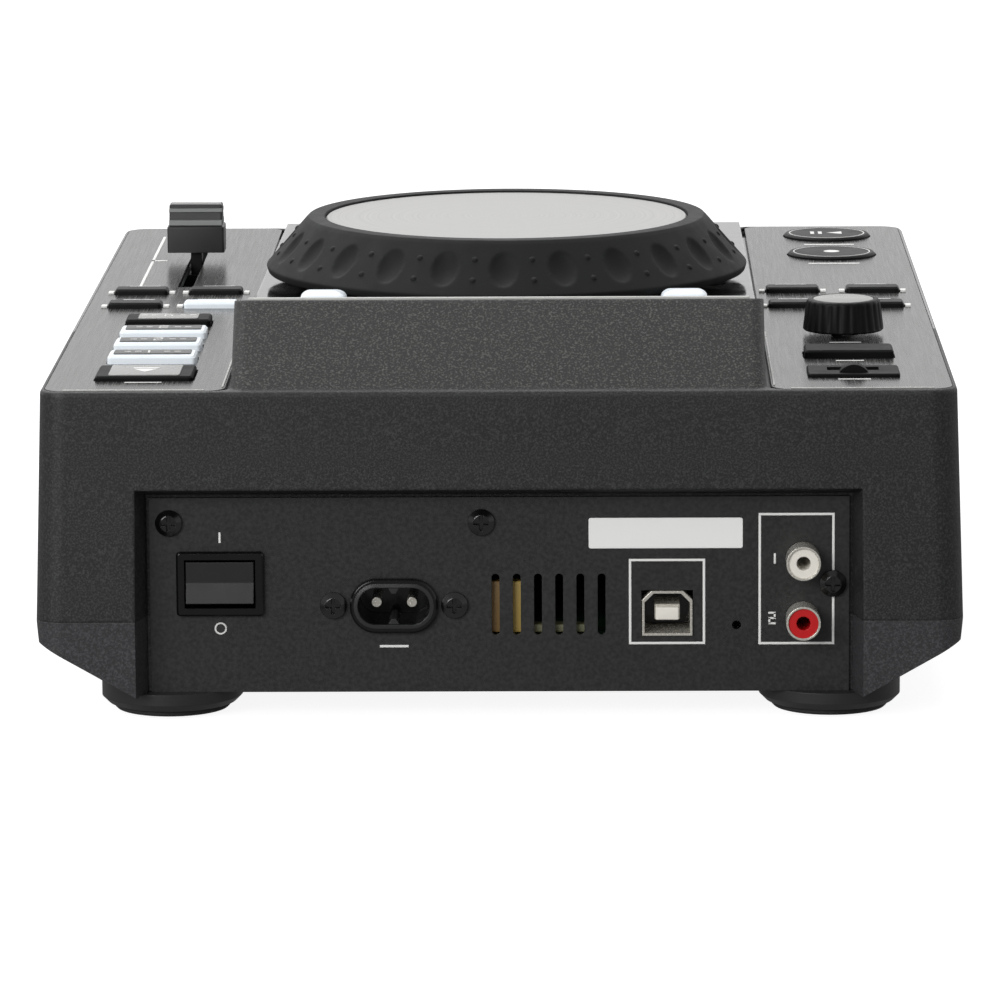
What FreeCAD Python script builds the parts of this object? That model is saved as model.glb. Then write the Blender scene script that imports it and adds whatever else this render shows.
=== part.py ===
import FreeCAD, Part
import os
import re
import Sketcher
from FreeCAD import Vector

os.makedirs("parts", exist_ok=True)
doc = FreeCAD.newDocument("DiscPlayer")

# Driving sizes in millimetres. X is the player's right, Y its rear, Z up.
# Rises are measured from the underside of the case, places from its middle, insets from its edges.
sizes = {
    # shells
    "case_width": 224.6, "case_length": 298.4, "case_draft": 1.7, "case_corner": 6.5,
    "case_wall": 2.5, "base_height": 6, "lower_height": 18.8, "upper_height": 56.2,
    "flank_reach": 24.3, "flank_rise": 13.4, "flank_lean": 0.7, "deck_edge": 1.2,
    # raised middle
    "strip_width": 47.8, "hump_front_step": 1.2, "hump_jog_rise": 6, "hump_peak_rise": 18.8,
    "hump_knee_reach": 62.5, "hump_rear_run": 22, "hump_foot_inset": 2.7, "hump_edge": 3.2,
    # side plates
    "plate_thick": 1.5, "deck_skin": 2.5, "plate_rim": 1.2, "plate_groove": 1.4,
    "plate_gap": 0.2, "plate_corner": 5, "ledge_side": 1.4, "ledge_end": 6.6,
    # rear recess and panel
    "recess_side": 24, "recess_rise": 51.5, "recess_depth": 6, "recess_lean": 2.6,
    "panel_thick": 1.2, "panel_gap": 0.9, "panel_lip_side": 8, "panel_lip_top": 10,
    "panel_lip_foot": 6,
    # feet and the screws between the shells
    "foot_radius": 17.3, "foot_side_inset": 7.5, "foot_end_inset": 21.2, "foot_rise": 5.2,
    "pad_radius": 14.2, "pad_thick": 1.6, "pad_edge": 0.5, "foot_edge": 1.6,
    "case_screw_gap": 9.2, "case_screw_front_inset": 33.2, "case_screw_rear_inset": 53.2,
    # jog wheel
    "jog_y": -12.5, "jog_bed_radius": 59, "jog_bed_rise": 6.4, "jog_gap": 0.5,
    "jog_radius": 63.5, "jog_height": 14.8, "jog_skirt": 2, "jog_foot_edge": 1,
    "jog_top_radius": 52.2, "jog_top_edge": 0.9, "jog_rim": 4.3, "jog_plate_drop": 0.5,
    "jog_plate_thick": 1.8, "jog_plate_edge": 0.5, "jog_web_thick": 3, "jog_web_gap": 2,
    "jog_ring_thick": 6, "jog_shaft_radius": 4, "jog_shaft_length": 27, "jog_bush_wall": 4,
    "jog_flange_radius": 14, "jog_flange_thick": 2.4, "dimple_length": 11, "dimple_width": 7.2,
    "dimple_depth": 1.3, "dimple_lift": 0.6,
    # keys and buttons
    "control_inset": 26, "key_gap": 0.35, "key_flange": 0.8, "key_flange_thick": 1.4,
    "key_travel": 0.9, "key_stem": 2.2, "key_corner": 1, "key_edge": 0.5, "stop_gap": 0.3,
    "small_key_width": 14, "small_key_depth": 6.4, "small_key_rise": 1.5,
    "right_key_shift": 0.9, "right_key_pitch": 19.8, "right_row_reach": 19.3,
    "right_row_pitch": 24.6, "left_key_pitch": 21.2, "left_row_reach": 22.3,
    "left_row_pitch": 27, "pad_drop": 23.6, "pad_pitch": 20.5, "pad_width": 21.8,
    "pad_depth": 11, "pad_rise": 1.9,
    "eject_inset": 27.1, "eject_width": 23.8, "eject_depth": 18, "eject_rise": 1.2,
    "back_drop": 29.1, "back_width": 22, "back_depth": 11.5, "back_rise": 2,
    "play_inset": 23.2, "round_pitch": 38, "round_shift": 2.4, "round_radius": 12,
    "round_rise": 0.9, "deck_key_x": 46.2, "deck_key_reach": 55, "deck_key_width": 11.8,
    "deck_key_depth": 9, "deck_key_rise": 3.4,
    # browse knob
    "knob_drop": 34.5, "knob_radius": 10.2, "knob_height": 8, "knob_lift": 1.2,
    "knob_taper": 0.8, "knob_edge": 0.9, "knob_bore": 3, "knob_bore_depth": 6,
    "flute_radius": 0.75, "shaft_gap": 0.05,
    # tempo fader
    "fader_rear_gap": 11.2, "fader_front_gap": 18.2, "fader_slot": 4.2, "track_width": 14,
    "track_reach": 2, "track_height": 9, "track_wall": 1.4, "carriage_length": 9,
    "carriage_gap": 0.4, "stem_width": 3, "stem_depth": 6, "cap_width": 15.6,
    "cap_top_width": 14.5, "cap_depth": 10, "cap_height": 13.1, "cap_lift": 2.9,
    "cap_skirt": 7.2, "cap_step": 0.5, "cap_lean": 2.2, "cap_groove": 1,
    # control boards
    "board_thick": 1.6, "board_drop": 9.4, "board_margin": 3.4, "board_end": 1.5,
    "switch_size": 6, "switch_height": 2, "post_radius": 1.8, "post_inset": 2,
    # display
    "window_width": 104, "window_depth": 56, "window_thick": 1.6, "window_ledge": 3,
    "screen_thick": 6, "window_gap": 0.25,
    # disc drive
    "slot_rise": 42, "slot_width": 124, "slot_height": 5.2, "bezel_wall": 2.2, "bezel_stand": 0.8,
    "bezel_reach": 2, "drive_inset": 5.7, "spindle_inset": 67.5, "drive_plate_width": 136,
    "drive_tail": 16, "drive_drop": 19, "drive_plate_thick": 1.5, "bracket_reach": 16,
    "bracket_pitch": 64, "bracket_thick": 2, "bracket_side": 6, "bracket_height": 11,
    "rod_radius": 1.5, "rod_x": 24, "rod_rise": 6, "screw_x": 14, "screw_radius": 1.8,
    "turntable_radius": 15, "turntable_drop": 3, "turntable_thick": 1.6, "hub_radius": 7.3,
    "hub_height": 2.8, "hub_edge": 2, "spindle_radius": 1, "motor_radius": 13,
    "motor_height": 6.5, "motor_floor": 1, "feed_motor_radius": 5, "feed_motor_length": 7,
    "motor_foot_width": 8, "roller_radius": 2.6, "roller_length": 118, "roller_inset": 4,
    "sled_reach": 9.5, "sled_length": 16, "sled_height": 6, "sled_overhang": 5,
    "sled_screw_gap": 0.3, "lens_radius": 3.5, "lens_height": 1.4, "clamp_width": 44,
    "clamp_rise": 8, "clamp_thick": 1.6, "clamp_pin_radius": 2, "clamp_tip": 10,
    "clamp_inset": 6, "clamp_gap": 0.4, "puck_radius": 12, "puck_drop": 5, "post_thick": 2,
    "post_length": 8, "post_head": 4, "ear_length": 7, "ear_head": 3, "ear_gap": 1,
    "damper_radius": 5, "damper_x": 56, "damper_inset": 12,
    # circuit boards in the floor
    "main_board_rise": 12.2, "pillar_radius": 3, "pillar_inset": 6, "pillar_rear_inset": 14,
    "floor_board_gap": 10, "floor_board_inset": 12.2, "floor_board_overhang": 2,
    "main_board_split": 10, "split_gap": 2, "chip_height": 2, "transformer_width": 26,
    "transformer_depth": 22, "transformer_height": 18, "transformer_inset": 44,
    "capacitor_radius": 8, "capacitor_height": 20, "capacitor_inset": 12, "fin_thick": 3,
    "fin_length": 30, "fin_height": 16, "fin_inset": 10,
    # rear sockets: x places run to the player's right
    "inlet_x": 25.6, "inlet_rise": 21.5, "inlet_width": 21.3, "inlet_height": 13.4,
    "inlet_cavity_width": 17.3, "inlet_cavity_height": 8.9, "inlet_wall": 1.8,
    "inlet_depth": 16, "inlet_stand": 1.8, "pin_spacing": 8.6, "pin_radius": 1.2,
    "pin_length": 10,
    "rocker_side": 20.6, "rocker_rise": 27, "rocker_frame_width": 21.2,
    "rocker_frame_height": 15.9, "rocker_rim": 2, "rocker_stand": 1.6, "rocker_depth": 15,
    "rocker_gap": 0.4, "rocker_tilt": 7, "rocker_pin_radius": 1, "rocker_pin_gap": 0.2,
    "rocker_pivot": 2, "rocker_nose": 3.6, "rocker_dip": 0.9, "rocker_lip": 1.2,
    "rocker_tail": 3, "rocker_tail_half": 2.2,
    "usb_x": -40.7, "usb_rise": 19.3, "usb_width": 12.2, "usb_height": 11, "usb_wall": 0.6,
    "usb_depth": 16, "usb_stand": 0.5, "usb_back": 2, "usb_chamfer": 2.2,
    "rca_side": 14.8, "rca_high_rise": 32.7, "rca_low_rise": 18, "rca_radius": 4.15,
    "rca_neck": 0.25, "rca_foot": 0.4, "rca_wall": 0.5, "rca_stand": 7.4, "rca_core_drop": 0.4,
    "rca_depth": 12, "rca_pin_hole": 1.7, "rca_block_width": 7.6,
    "vent_first_x": 0.9, "vent_pitch": 5.14, "vent_width": 1.9, "vent_rise": 14,
    "vent_height": 15.1, "pinhole_shift": 0.4, "pinhole_rise": 16.3, "pinhole_radius": 1.1,
    "hole_gap": 0.15,
    "screw_head_radius": 3.25, "screw_head_height": 1.9, "screw_shank_radius": 1.4,
    "screw_length": 4, "screw_slot": 0.9, "screw_cross": 3.7,
    "top_screw_side": 8.3, "top_screw_rise": 41.9, "middle_screw_x": 4.3,
    "side_screw_side": 7.5, "side_screw_rise": 26.6, "inlet_screw_reach": 14.7,
    # stick socket in the left plate
    "stick_width": 22.4, "stick_depth": 14, "stick_rise": 0.9, "stick_mouth_width": 12.6,
    "stick_mouth_height": 5, "stick_mouth_shift": 1.5, "stick_deep": 17, "stick_floor": 2.5,
    "stick_hood": 4.2, "stick_tongue_gap": 1.5,
}
# Sizes and places that follow from the driving ones
ties = {
    "hump_width": "case_width - 2 * strip_width",
    "floor_width": "case_width - 2 * flank_reach",
    "recess_width": "case_width - 2 * recess_side",
    "hump_knee_y": "jog_y + hump_knee_reach",
    "hump_foot_y": "case_length / 2 - hump_foot_inset",
    "hump_peak_y": "hump_foot_y - hump_rear_run",
    "foot_x": "floor_width / 2 - foot_side_inset",
    "foot_y": "case_length / 2 - foot_end_inset",
    "case_screw_x": "foot_x - foot_radius - case_screw_gap",
    "case_screw_front_y": "case_screw_front_inset - case_length / 2",
    "case_screw_rear_y": "case_length / 2 - case_screw_rear_inset",
    "control_x": "case_width / 2 - control_inset",
    "eject_x": "control_x",
    "eject_y": "case_length / 2 - eject_inset",
    "stick_x": "-control_x",
    "stick_y": "eject_y",
    "back_x": "-control_x",
    "back_y": "eject_y - back_drop",
    "knob_x": "-control_x",
    "knob_y": "back_y - knob_drop",
    "pad_x": "control_x",
    "pad_first_y": "eject_y - pad_drop",
    "right_key_x": "control_x + right_key_shift",
    "right_key_rear_y": "jog_y + right_row_reach",
    "right_key_front_y": "right_key_rear_y - right_row_pitch",
    "left_key_x": "-control_x",
    "left_key_rear_y": "jog_y + left_row_reach",
    "left_key_front_y": "left_key_rear_y - left_row_pitch",
    "play_x": "-(control_x + round_shift)",
    "play_y": "play_inset - case_length / 2",
    "cue_y": "play_y + round_pitch",
    "deck_key_y": "jog_y + deck_key_reach",
    "fader_rear_y": "right_key_front_y - fader_rear_gap",
    "fader_front_y": "fader_front_gap - case_length / 2",
    "fader_x": "control_x",
    "fader_y": "(fader_rear_y + fader_front_y) / 2",
    "fader_slot_length": "fader_rear_y - fader_front_y",
    "track_length": "fader_slot_length + 2 * track_reach",
    "board_width": "strip_width - 2 * board_margin",
    "drive_plate_front": "drive_inset - case_length / 2",
    "spindle_y": "drive_plate_front + spindle_inset",
    "bracket_front_y": "spindle_y + bracket_reach",
    "bracket_rear_y": "bracket_front_y + bracket_pitch",
    "drive_plate_rear": "bracket_rear_y + drive_tail",
    "roller_y": "drive_plate_front + roller_inset",
    "sled_y": "bracket_front_y + sled_reach",
    "main_board_left": "-(floor_width / 2 + floor_board_overhang)",
    "power_board_right": "floor_width / 2 + floor_board_overhang",
    "main_board_front": "drive_plate_rear + floor_board_gap",
    "main_board_rear": "case_length / 2 - floor_board_inset",
    "rocker_x": "recess_width / 2 - rocker_side",
    "rca_x": "rca_side - recess_width / 2",
    "pinhole_x": "(usb_x + rca_x) / 2 - pinhole_shift",
    "top_screw_x": "recess_width / 2 - top_screw_side",
    "side_screw_x": "side_screw_side - recess_width / 2",
}
dimple_count = 24
flute_count = 24
vent_count = 6


sheet = doc.addObject("Spreadsheet::Sheet", "Sizes")
cells = {alias: str(number) for alias, number in sizes.items()}
cells.update({alias: f"={text}" for alias, text in ties.items()})
for row, (alias, content) in enumerate(cells.items(), start=1):
    sheet.set(f"A{row}", alias)
    sheet.setAlias(f"B{row}", alias)
for row, content in enumerate(cells.values(), start=1):
    sheet.set(f"B{row}", content)
doc.recompute()

# Levels and places that several pieces share
seam_z = "(base_height + lower_height)"
deck_z = "(base_height + lower_height + upper_height)"
plate_z = f"({deck_z} - plate_thick)"
skin_z = f"({plate_z} - deck_skin)"
deck_width = "(case_width - 2 * case_draft)"
deck_length = "(case_length - 2 * case_draft)"
plate_inner = "(hump_width / 2 + plate_groove)"
plate_outer = f"({deck_width} / 2 - plate_rim)"
bed_z = f"({deck_z} + jog_bed_rise)"
jog_z = f"({bed_z} + jog_gap)"
jog_top_z = f"({jog_z} + jog_height)"
jog_hole_radius = "(jog_top_radius - jog_rim)"
panel_y = "(case_length / 2 - case_draft - recess_depth)"
panel_half = "(recess_width / 2 - recess_lean)"
panel_top = "(base_height + recess_rise - recess_lean)"
board_z = f"({plate_z} - board_drop)"
slot_z = "(base_height + slot_rise)"
drive_z = f"({slot_z} - drive_drop)"
drive_top = f"({drive_z} + drive_plate_thick)"
rod_z = f"({drive_top} + rod_rise)"
floor_z = "(base_height + case_wall)"
main_board_z = "(base_height + main_board_rise)"
main_board_top = f"({main_board_z} + board_thick)"
hump_slope = "atan((hump_peak_rise - hump_jog_rise) / (hump_peak_y - hump_knee_y))"
window_y = "((hump_knee_y + hump_peak_y) / 2)"
window_z = f"({deck_z} + (hump_jog_rise + hump_peak_rise) / 2)"

nodes = []


# Tools for making sub-parts whose sizes stay bound to the sheet
def bound(text):
    return re.sub(r"[a-z]\w*", lambda word: f"Sizes.{word[0]}" if word[0] in cells else word[0], text)


def bind(thing, prop, text):
    thing.setExpression(prop, bound(text))


def place(thing, at=("0", "0", "0"), axis=None, angle="0"):
    if axis:
        thing.Placement.Rotation = FreeCAD.Rotation(Vector(*axis), 1)
        bind(thing, "Placement.Rotation.Angle", angle)
    for letter, text in zip("xyz", at):
        bind(thing, f"Placement.Base.{letter}", text)
    return thing


def keep(thing, label):
    thing.Label = label
    nodes.append(thing)
    return thing


def new_body(name):
    return doc.addObject("PartDesign::Body", name)


def sketch_polygon(body, role, points):
    """Closed outline whose corners are all bound to the sheet."""
    sketch = body.newObject("Sketcher::SketchObject", body.Name + "Outline")
    plane = next(feature for feature in body.Origin.OriginFeatures if feature.Role == role)
    sketch.AttachmentSupport = [(plane, "")]
    sketch.MapMode = "FlatFace"
    corners = [Vector(sheet.evalExpression(bound(across)), sheet.evalExpression(bound(up)), 0)
               for across, up in points]
    count = len(points)
    for index in range(count):
        sketch.addGeometry(Part.LineSegment(corners[index], corners[(index + 1) % count]))
    for index in range(count):
        sketch.addConstraint(Sketcher.Constraint("Coincident", index, 2, (index + 1) % count, 1))
    for index, (across, up) in enumerate(points):
        for kind, text, value in (("DistanceX", across, corners[index].x),
                                  ("DistanceY", up, corners[index].y)):
            number = sketch.addConstraint(Sketcher.Constraint(kind, -1, 1, index, 1, value))
            bind(sketch, f"Constraints[{number}]", text)
    return sketch


def prism(name, role, points, length, at=("0", "0", "0"), middle=True, draft=None, **turn):
    body = new_body(name)
    pad = body.newObject("PartDesign::Pad", name + "Pad")
    pad.Profile = sketch_polygon(body, role, points)
    pad.Midplane = middle
    bind(pad, "Length", length)
    if draft:
        bind(pad, "TaperAngle", draft)
    place(body, at, **turn)
    return body


def rectangle(width, depth):
    return [(f"-({width}) / 2", f"-({depth}) / 2"), (f"({width}) / 2", f"-({depth}) / 2"),
            (f"({width}) / 2", f"({depth}) / 2"), (f"-({width}) / 2", f"({depth}) / 2")]


def edge_names(shape, wanted):
    return [f"Edge{index}" for index, edge in enumerate(shape.Edges, start=1) if wanted(edge)]


def is_upright(edge):
    heights = [vertex.Z for vertex in edge.Vertexes]
    return max(heights) - min(heights) > 0.5 * edge.Length


def top_edges(body):
    """Test that picks the edges in the highest level of a body as built so far."""
    doc.recompute()
    top = max(vertex.Z for vertex in body.Tip.Shape.Vertexes)
    return lambda edge: min(vertex.Z for vertex in edge.Vertexes) > top - 0.001


def dress(body, kind, wanted, size):
    """Fillet or Chamfer on the edges of the body's tip that the test picks."""
    doc.recompute()
    tip = body.Tip
    feature = body.newObject(f"PartDesign::{kind}", f"{body.Name}{kind}{len(body.Group)}")
    feature.Base = (tip, edge_names(tip.Shape, wanted))
    bind(feature, "Radius" if kind == "Fillet" else "Size", size)
    body.Tip = feature
    return body


def slab(name, width, depth, height, corner=None, edge=None, at=("0", "0", "0"), **turn):
    """Upright block centred on its place, with rounded corners and a broken top edge."""
    body = prism(name, "XY_Plane", rectangle(width, depth), height, at, middle=False, **turn)
    if corner:
        dress(body, "Fillet", is_upright, corner)
    if edge:
        dress(body, "Chamfer", top_edges(body), edge)
    return body


def turned(name, points, at=("0", "0", "0"), **turn):
    """Solid of revolution about the upright axis; points are radius and height."""
    body = new_body(name)
    spin = body.newObject("PartDesign::Revolution", name + "Turn")
    spin.Profile = sketch_polygon(body, "XZ_Plane", points)
    spin.ReferenceAxis = (spin.Profile[0], ["V_Axis"])
    spin.Angle = 360
    place(body, at, **turn)
    return body


def block(name, width, depth, height, at):
    """Plain block centred in plan, standing on its place."""
    box = doc.addObject("Part::Box", name)
    bind(box, "Length", width)
    bind(box, "Width", depth)
    bind(box, "Height", height)
    return place(box, (f"{at[0]} - ({width}) / 2", f"{at[1]} - ({depth}) / 2", at[2]))


def rod(name, radius, length, at, axis=None, angle="0"):
    cylinder = doc.addObject("Part::Cylinder", name)
    bind(cylinder, "Radius", radius)
    bind(cylinder, "Height", length)
    return place(cylinder, at, axis=axis, angle=angle)


def rod_back(name, radius, length, at):
    """Rod that runs towards the player's rear from its place."""
    return rod(name, radius, length, at, axis=(1, 0, 0), angle="-90")


def rod_right(name, radius, length, at):
    """Rod that runs towards the player's right from its place."""
    return rod(name, radius, length, at, axis=(0, 1, 0), angle="90")


def fuse(name, pieces):
    whole = doc.addObject("Part::MultiFuse", name)
    whole.Shapes = pieces
    return whole


def common(name, pieces):
    whole = doc.addObject("Part::MultiCommon", name)
    whole.Shapes = pieces
    return whole


def group(name, pieces):
    """Separate solids kept together in one sub-part."""
    whole = doc.addObject("Part::Compound", name)
    whole.Links = pieces
    return whole


def cut(name, base, tools):
    whole = doc.addObject("Part::Cut", name)
    whole.Base = base
    whole.Tool = tools[0] if len(tools) == 1 else group(name + "Tools", tools)
    return whole


# Rear recess: one leaning pocket in both shells, with the panel's seat behind it
def recess(name, grow, front):
    wedge = doc.addObject("Part::Wedge", name)
    far = "(case_length / 2 + 1)"
    for prop, text in {
        "Xmin": f"-({panel_half} + {grow})", "Xmax": f"{panel_half} + {grow}",
        "X2min": f"-(recess_width / 2 + {grow})", "X2max": f"recess_width / 2 + {grow}",
        "Ymin": front, "Ymax": far, "Zmin": "base_height - 1", "Z2min": "base_height - 1",
        "Zmax": f"{panel_top} + {grow}", "Z2max": f"base_height + recess_rise + {grow}",
    }.items():
        bind(wedge, prop, text)
    return wedge


seat_y = f"({panel_y} - panel_thick)"
recess_cut = recess("RecessCut", "0", panel_y)
recess_wall = recess("RecessWall", "case_wall", f"{seat_y} - case_wall")
seat_cut = block("SeatCut", f"2 * {panel_half}", "panel_thick + 1", f"{panel_top} - base_height + 1",
                 ("0", f"{seat_y} + (panel_thick + 1) / 2", "base_height - 1"))
window_height = f"({panel_top} - panel_lip_top - base_height - panel_lip_foot)"
panel_window = block("PanelWindow", f"2 * ({panel_half} - panel_lip_side)", "3 * case_wall",
                     window_height, ("0", f"{seat_y} - case_wall", "base_height + panel_lip_foot"))


def screw_places():
    return [("top_screw_x", "top_screw_rise"), ("middle_screw_x", "top_screw_rise"),
            ("side_screw_x", "side_screw_rise"), ("inlet_x + inlet_screw_reach", "inlet_rise"),
            ("inlet_x - inlet_screw_reach", "inlet_rise")]


def panel_holes(name, radius):
    return [rod_back(f"{name}{index}", radius, "4 * case_wall",
                     (x, f"{panel_y} - 3 * case_wall", f"base_height + {rise}"))
            for index, (x, rise) in enumerate(screw_places())]


shank_holes = panel_holes("ShankHole", "screw_shank_radius + shaft_gap")


# Lower shell: a tray with chamfered flanks, rounded at its upright corners
def flanked(name, inset, low, high, length):
    half = f"(case_width / 2 - {inset})"
    points = [(f"-(floor_width / 2 - {inset} / 2)", low), (f"floor_width / 2 - {inset} / 2", low),
              (f"{half} - flank_lean", f"base_height + flank_rise + {inset} / 2"), (half, high),
              (f"-{half}", high), (f"flank_lean - {half}", f"base_height + flank_rise + {inset} / 2")]
    return prism(name, "XZ_Plane", points, length)


lower_block = flanked("LowerBlock", "0", "base_height", seam_z, "case_length")
lower_corners = slab("LowerCorners", "case_width", "case_length", "lower_height", "case_corner",
                     at=("0", "0", "base_height"))
lower_outside = common("LowerOutside", [lower_block, lower_corners])
lower_hollow = flanked("LowerHollow", "case_wall", floor_z, f"{seam_z} + 1",
                       "case_length - 2 * case_wall")
lower_inside = cut("LowerInside", lower_hollow, [recess_wall])
pillar_columns = ("main_board_left + pillar_inset", "main_board_split - pillar_inset",
                  "main_board_split + split_gap + pillar_inset",
                  "power_board_right - split_gap - pillar_inset")
pillar_rows = ("main_board_front + pillar_inset", "main_board_rear - pillar_rear_inset")
pillars = []
for x in pillar_columns:
    for y in pillar_rows:
        pillars.append(rod(f"Pillar{len(pillars)}", "pillar_radius",
                           f"{main_board_z} - base_height - case_wall / 2",
                           (x, y, "base_height + case_wall / 2")))
damper_places = [(f"{side} * damper_x", y) for side in (-1, 1)
                 for y in ("drive_plate_front + damper_inset", "drive_plate_rear - damper_inset")]
case_screw_places = [(f"{side} * case_screw_x", y) for side in (-1, 1)
                     for y in ("case_screw_front_y", "case_screw_rear_y")]
case_screw_holes = [rod(f"CaseScrewHole{index}", "screw_shank_radius + shaft_gap", "3 * case_wall",
                        (x, y, "base_height - case_wall"))
                    for index, (x, y) in enumerate(case_screw_places)]
lower_tray = cut("LowerTray", lower_outside, [lower_inside])
keep(cut("BottomCase", fuse("LowerBuilt", [lower_tray] + pillars),
         [recess_cut, seat_cut, panel_window] + case_screw_holes), "bottom_case")

# Upper shell: drafted walls, the raised middle and a round bed under the jog wheel
upper_draft = "-atan(case_draft / upper_height)"
upper_block = prism("UpperBlock", "XY_Plane", rectangle("case_width", "case_length"), "upper_height",
                    ("0", "0", seam_z), middle=False, draft=upper_draft)
dress(upper_block, "Fillet", is_upright, "case_corner")
dress(upper_block, "Fillet", top_edges(upper_block), "deck_edge")


def hump(name, inset, low):
    front = f"-({deck_length} / 2 - {inset})"
    points = [(front, low), (f"hump_foot_y - {inset}", low), (f"hump_foot_y - {inset}", deck_z),
              (f"hump_peak_y - {inset} / 2", f"{deck_z} + hump_peak_rise - {inset}"),
              ("hump_knee_y", f"{deck_z} + hump_jog_rise - {inset}"),
              (front, f"{deck_z} + hump_front_step - {inset}")]
    return prism(name, "YZ_Plane", points, f"hump_width - 2 * {inset}")


hump_block = hump("HumpBlock", "0", skin_z)


def is_rear_flank(line):
    ends = [vertex.Point for vertex in line.Vertexes]
    middle_y = sheet.evalExpression(bound("(hump_knee_y + hump_peak_y) / 2"))
    return (abs(ends[0].x - ends[1].x) < 0.01 and min(end.y for end in ends) > middle_y
            and abs(ends[0].z - ends[1].z) > 1 and abs(ends[0].y - ends[1].y) > 1)


dress(hump_block, "Fillet", is_rear_flank, "hump_edge")
jog_bed = rod("JogBed", "jog_bed_radius", "jog_bed_rise + deck_skin", ("0", "jog_y", skin_z))
upper_outside = fuse("UpperOutside", [upper_block, hump_block, jog_bed])
upper_hollow = prism("UpperHollow", "XY_Plane",
                     rectangle("case_width - 2 * case_wall", "case_length - 2 * case_wall"),
                     f"{skin_z} - {seam_z} + 1", ("0", "0", f"{seam_z} - 1"), middle=False,
                     draft=upper_draft)
hump_hollow = hump("HumpHollow", "case_wall", f"{skin_z} - 1")
upper_inside = cut("UpperInside", fuse("UpperHollows", [upper_hollow, hump_hollow]), [recess_wall])
plate_middle = f"(({plate_inner} + {plate_outer}) / 2)"
plate_width = f"({plate_outer} - {plate_inner})"
plate_length = f"({deck_length} - 2 * plate_rim)"
pocket_middle = f"((hump_width / 2 + {plate_outer} + plate_gap) / 2)"
plate_cuts = []
for side, word in ((-1, "Left"), (1, "Right")):
    plate_cuts.append(slab(f"{word}Pocket", f"{plate_outer} + plate_gap - hump_width / 2",
                           f"{plate_length} + 2 * plate_gap", "plate_thick + 1", "plate_corner",
                           at=(f"{side} * {pocket_middle}", "0", plate_z)))
    plate_cuts.append(block(f"{word}Window", f"{plate_width} - 2 * ledge_side",
                            f"{plate_length} - 2 * ledge_end", "deck_skin + 2",
                            (f"{side} * {plate_middle}", "0", f"{skin_z} - 1")))
slot_cut = block("SlotCut", "slot_width + 2 * bezel_wall", "4 * case_wall",
                 "slot_height + 2 * bezel_wall",
                 ("0", "-case_length / 2", f"{slot_z} - slot_height / 2 - bezel_wall"))
bush_hole = rod("BushHole", "jog_shaft_radius + jog_bush_wall", "jog_bed_rise + 3 * deck_skin",
                ("0", "jog_y", f"{skin_z} - deck_skin"))


def on_slope(name, width, depth, height, sink, corner=None):
    """Block laid in the sloping deck, its top sunk below the slope."""
    y = f"{window_y} + ({sink}) * sin({hump_slope})"
    z = f"{window_z} - ({sink}) * cos({hump_slope})"
    return slab(name, width, depth, height, corner, at=("0", y, z), axis=(1, 0, 0), angle=hump_slope)


window_seat = on_slope("WindowSeat", "window_width + 2 * window_gap", "window_depth + 2 * window_gap",
                       "window_thick + 2", "window_thick")
window_hole = on_slope("WindowHole", "window_width - 2 * window_ledge",
                       "window_depth - 2 * window_ledge", "4 * case_wall", "3 * case_wall")
deck_key_holes = [block(f"DeckKeyHole{side}", "deck_key_width + 2 * key_gap",
                        "deck_key_depth + 2 * key_gap", "hump_jog_rise + 2 * deck_skin",
                        (f"{side} * deck_key_x", "deck_key_y", skin_z)) for side in (-1, 1)]
keep(cut("TopCase", cut("UpperShell", upper_outside, [upper_inside]),
         [recess_cut, seat_cut, panel_window, slot_cut, bush_hole, window_seat, window_hole]
         + plate_cuts + deck_key_holes + shank_holes), "top_case")


# Side plates with a hole for each control
def key_list():
    """Name, x, y, width, depth, rise of each rectangular key in the side plates."""
    keys = [("eject_button", "eject_x", "eject_y", "eject_width", "eject_depth", "eject_rise"),
            ("back_button", "back_x", "back_y", "back_width", "back_depth", "back_rise")]
    for number in range(4):
        keys.append((f"pad_{number + 1}", "pad_x", f"pad_first_y - {number} * pad_pitch",
                     "pad_width", "pad_depth", "pad_rise"))
    for word in ("left", "right"):
        places = [(side, row) for row in ("rear", "front") for side in (-1, 1)]
        for number, (side, row) in enumerate(places, start=1):
            keys.append((f"key_{word}_{number}", f"{word}_key_x + {side} * {word}_key_pitch / 2",
                         f"{word}_key_{row}_y", "small_key_width", "small_key_depth",
                         "small_key_rise"))
    return keys


round_places = {"play_button": ("play_x", "play_y"), "cue_button": ("play_x", "cue_y")}
hole_height = "3 * plate_thick"
hole_z = f"({plate_z} - plate_thick)"


def key_hole(key):
    name, x, y, width, depth, rise = key
    return slab("Hole_" + name, f"{width} + 2 * key_gap", f"{depth} + 2 * key_gap", hole_height,
                "key_corner + key_gap", at=(x, y, hole_z))


def side_plate(word, side, holes):
    sheet_metal = slab(f"{word}Sheet", plate_width, plate_length, "plate_thick", "plate_corner",
                       at=(f"{side} * {plate_middle}", "0", plate_z))
    keep(cut(f"{word}Plate", sheet_metal, holes), f"{word.lower()}_top_plate")


right_names = ("eject", "pad", "key_right")
right_holes = [key_hole(key) for key in key_list() if key[0].startswith(right_names)]
right_holes.append(block("FaderSlot", "fader_slot", "fader_slot_length", hole_height,
                         ("fader_x", "fader_y", hole_z)))
left_holes = [key_hole(key) for key in key_list() if not key[0].startswith(right_names)]
left_holes += [rod("Hole_" + name, "round_radius + key_gap", hole_height, (x, y, hole_z))
               for name, (x, y) in round_places.items()]
left_holes.append(rod("KnobHole", "knob_bore + 2 * key_gap", hole_height,
                      ("knob_x", "knob_y", hole_z)))
left_holes.append(slab("StickHole", "stick_width - 2 * window_ledge", "stick_depth - window_ledge",
                       hole_height, "key_corner", at=("stick_x", "stick_y", hole_z)))
side_plate("Right", 1, right_holes)
side_plate("Left", -1, left_holes)

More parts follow.
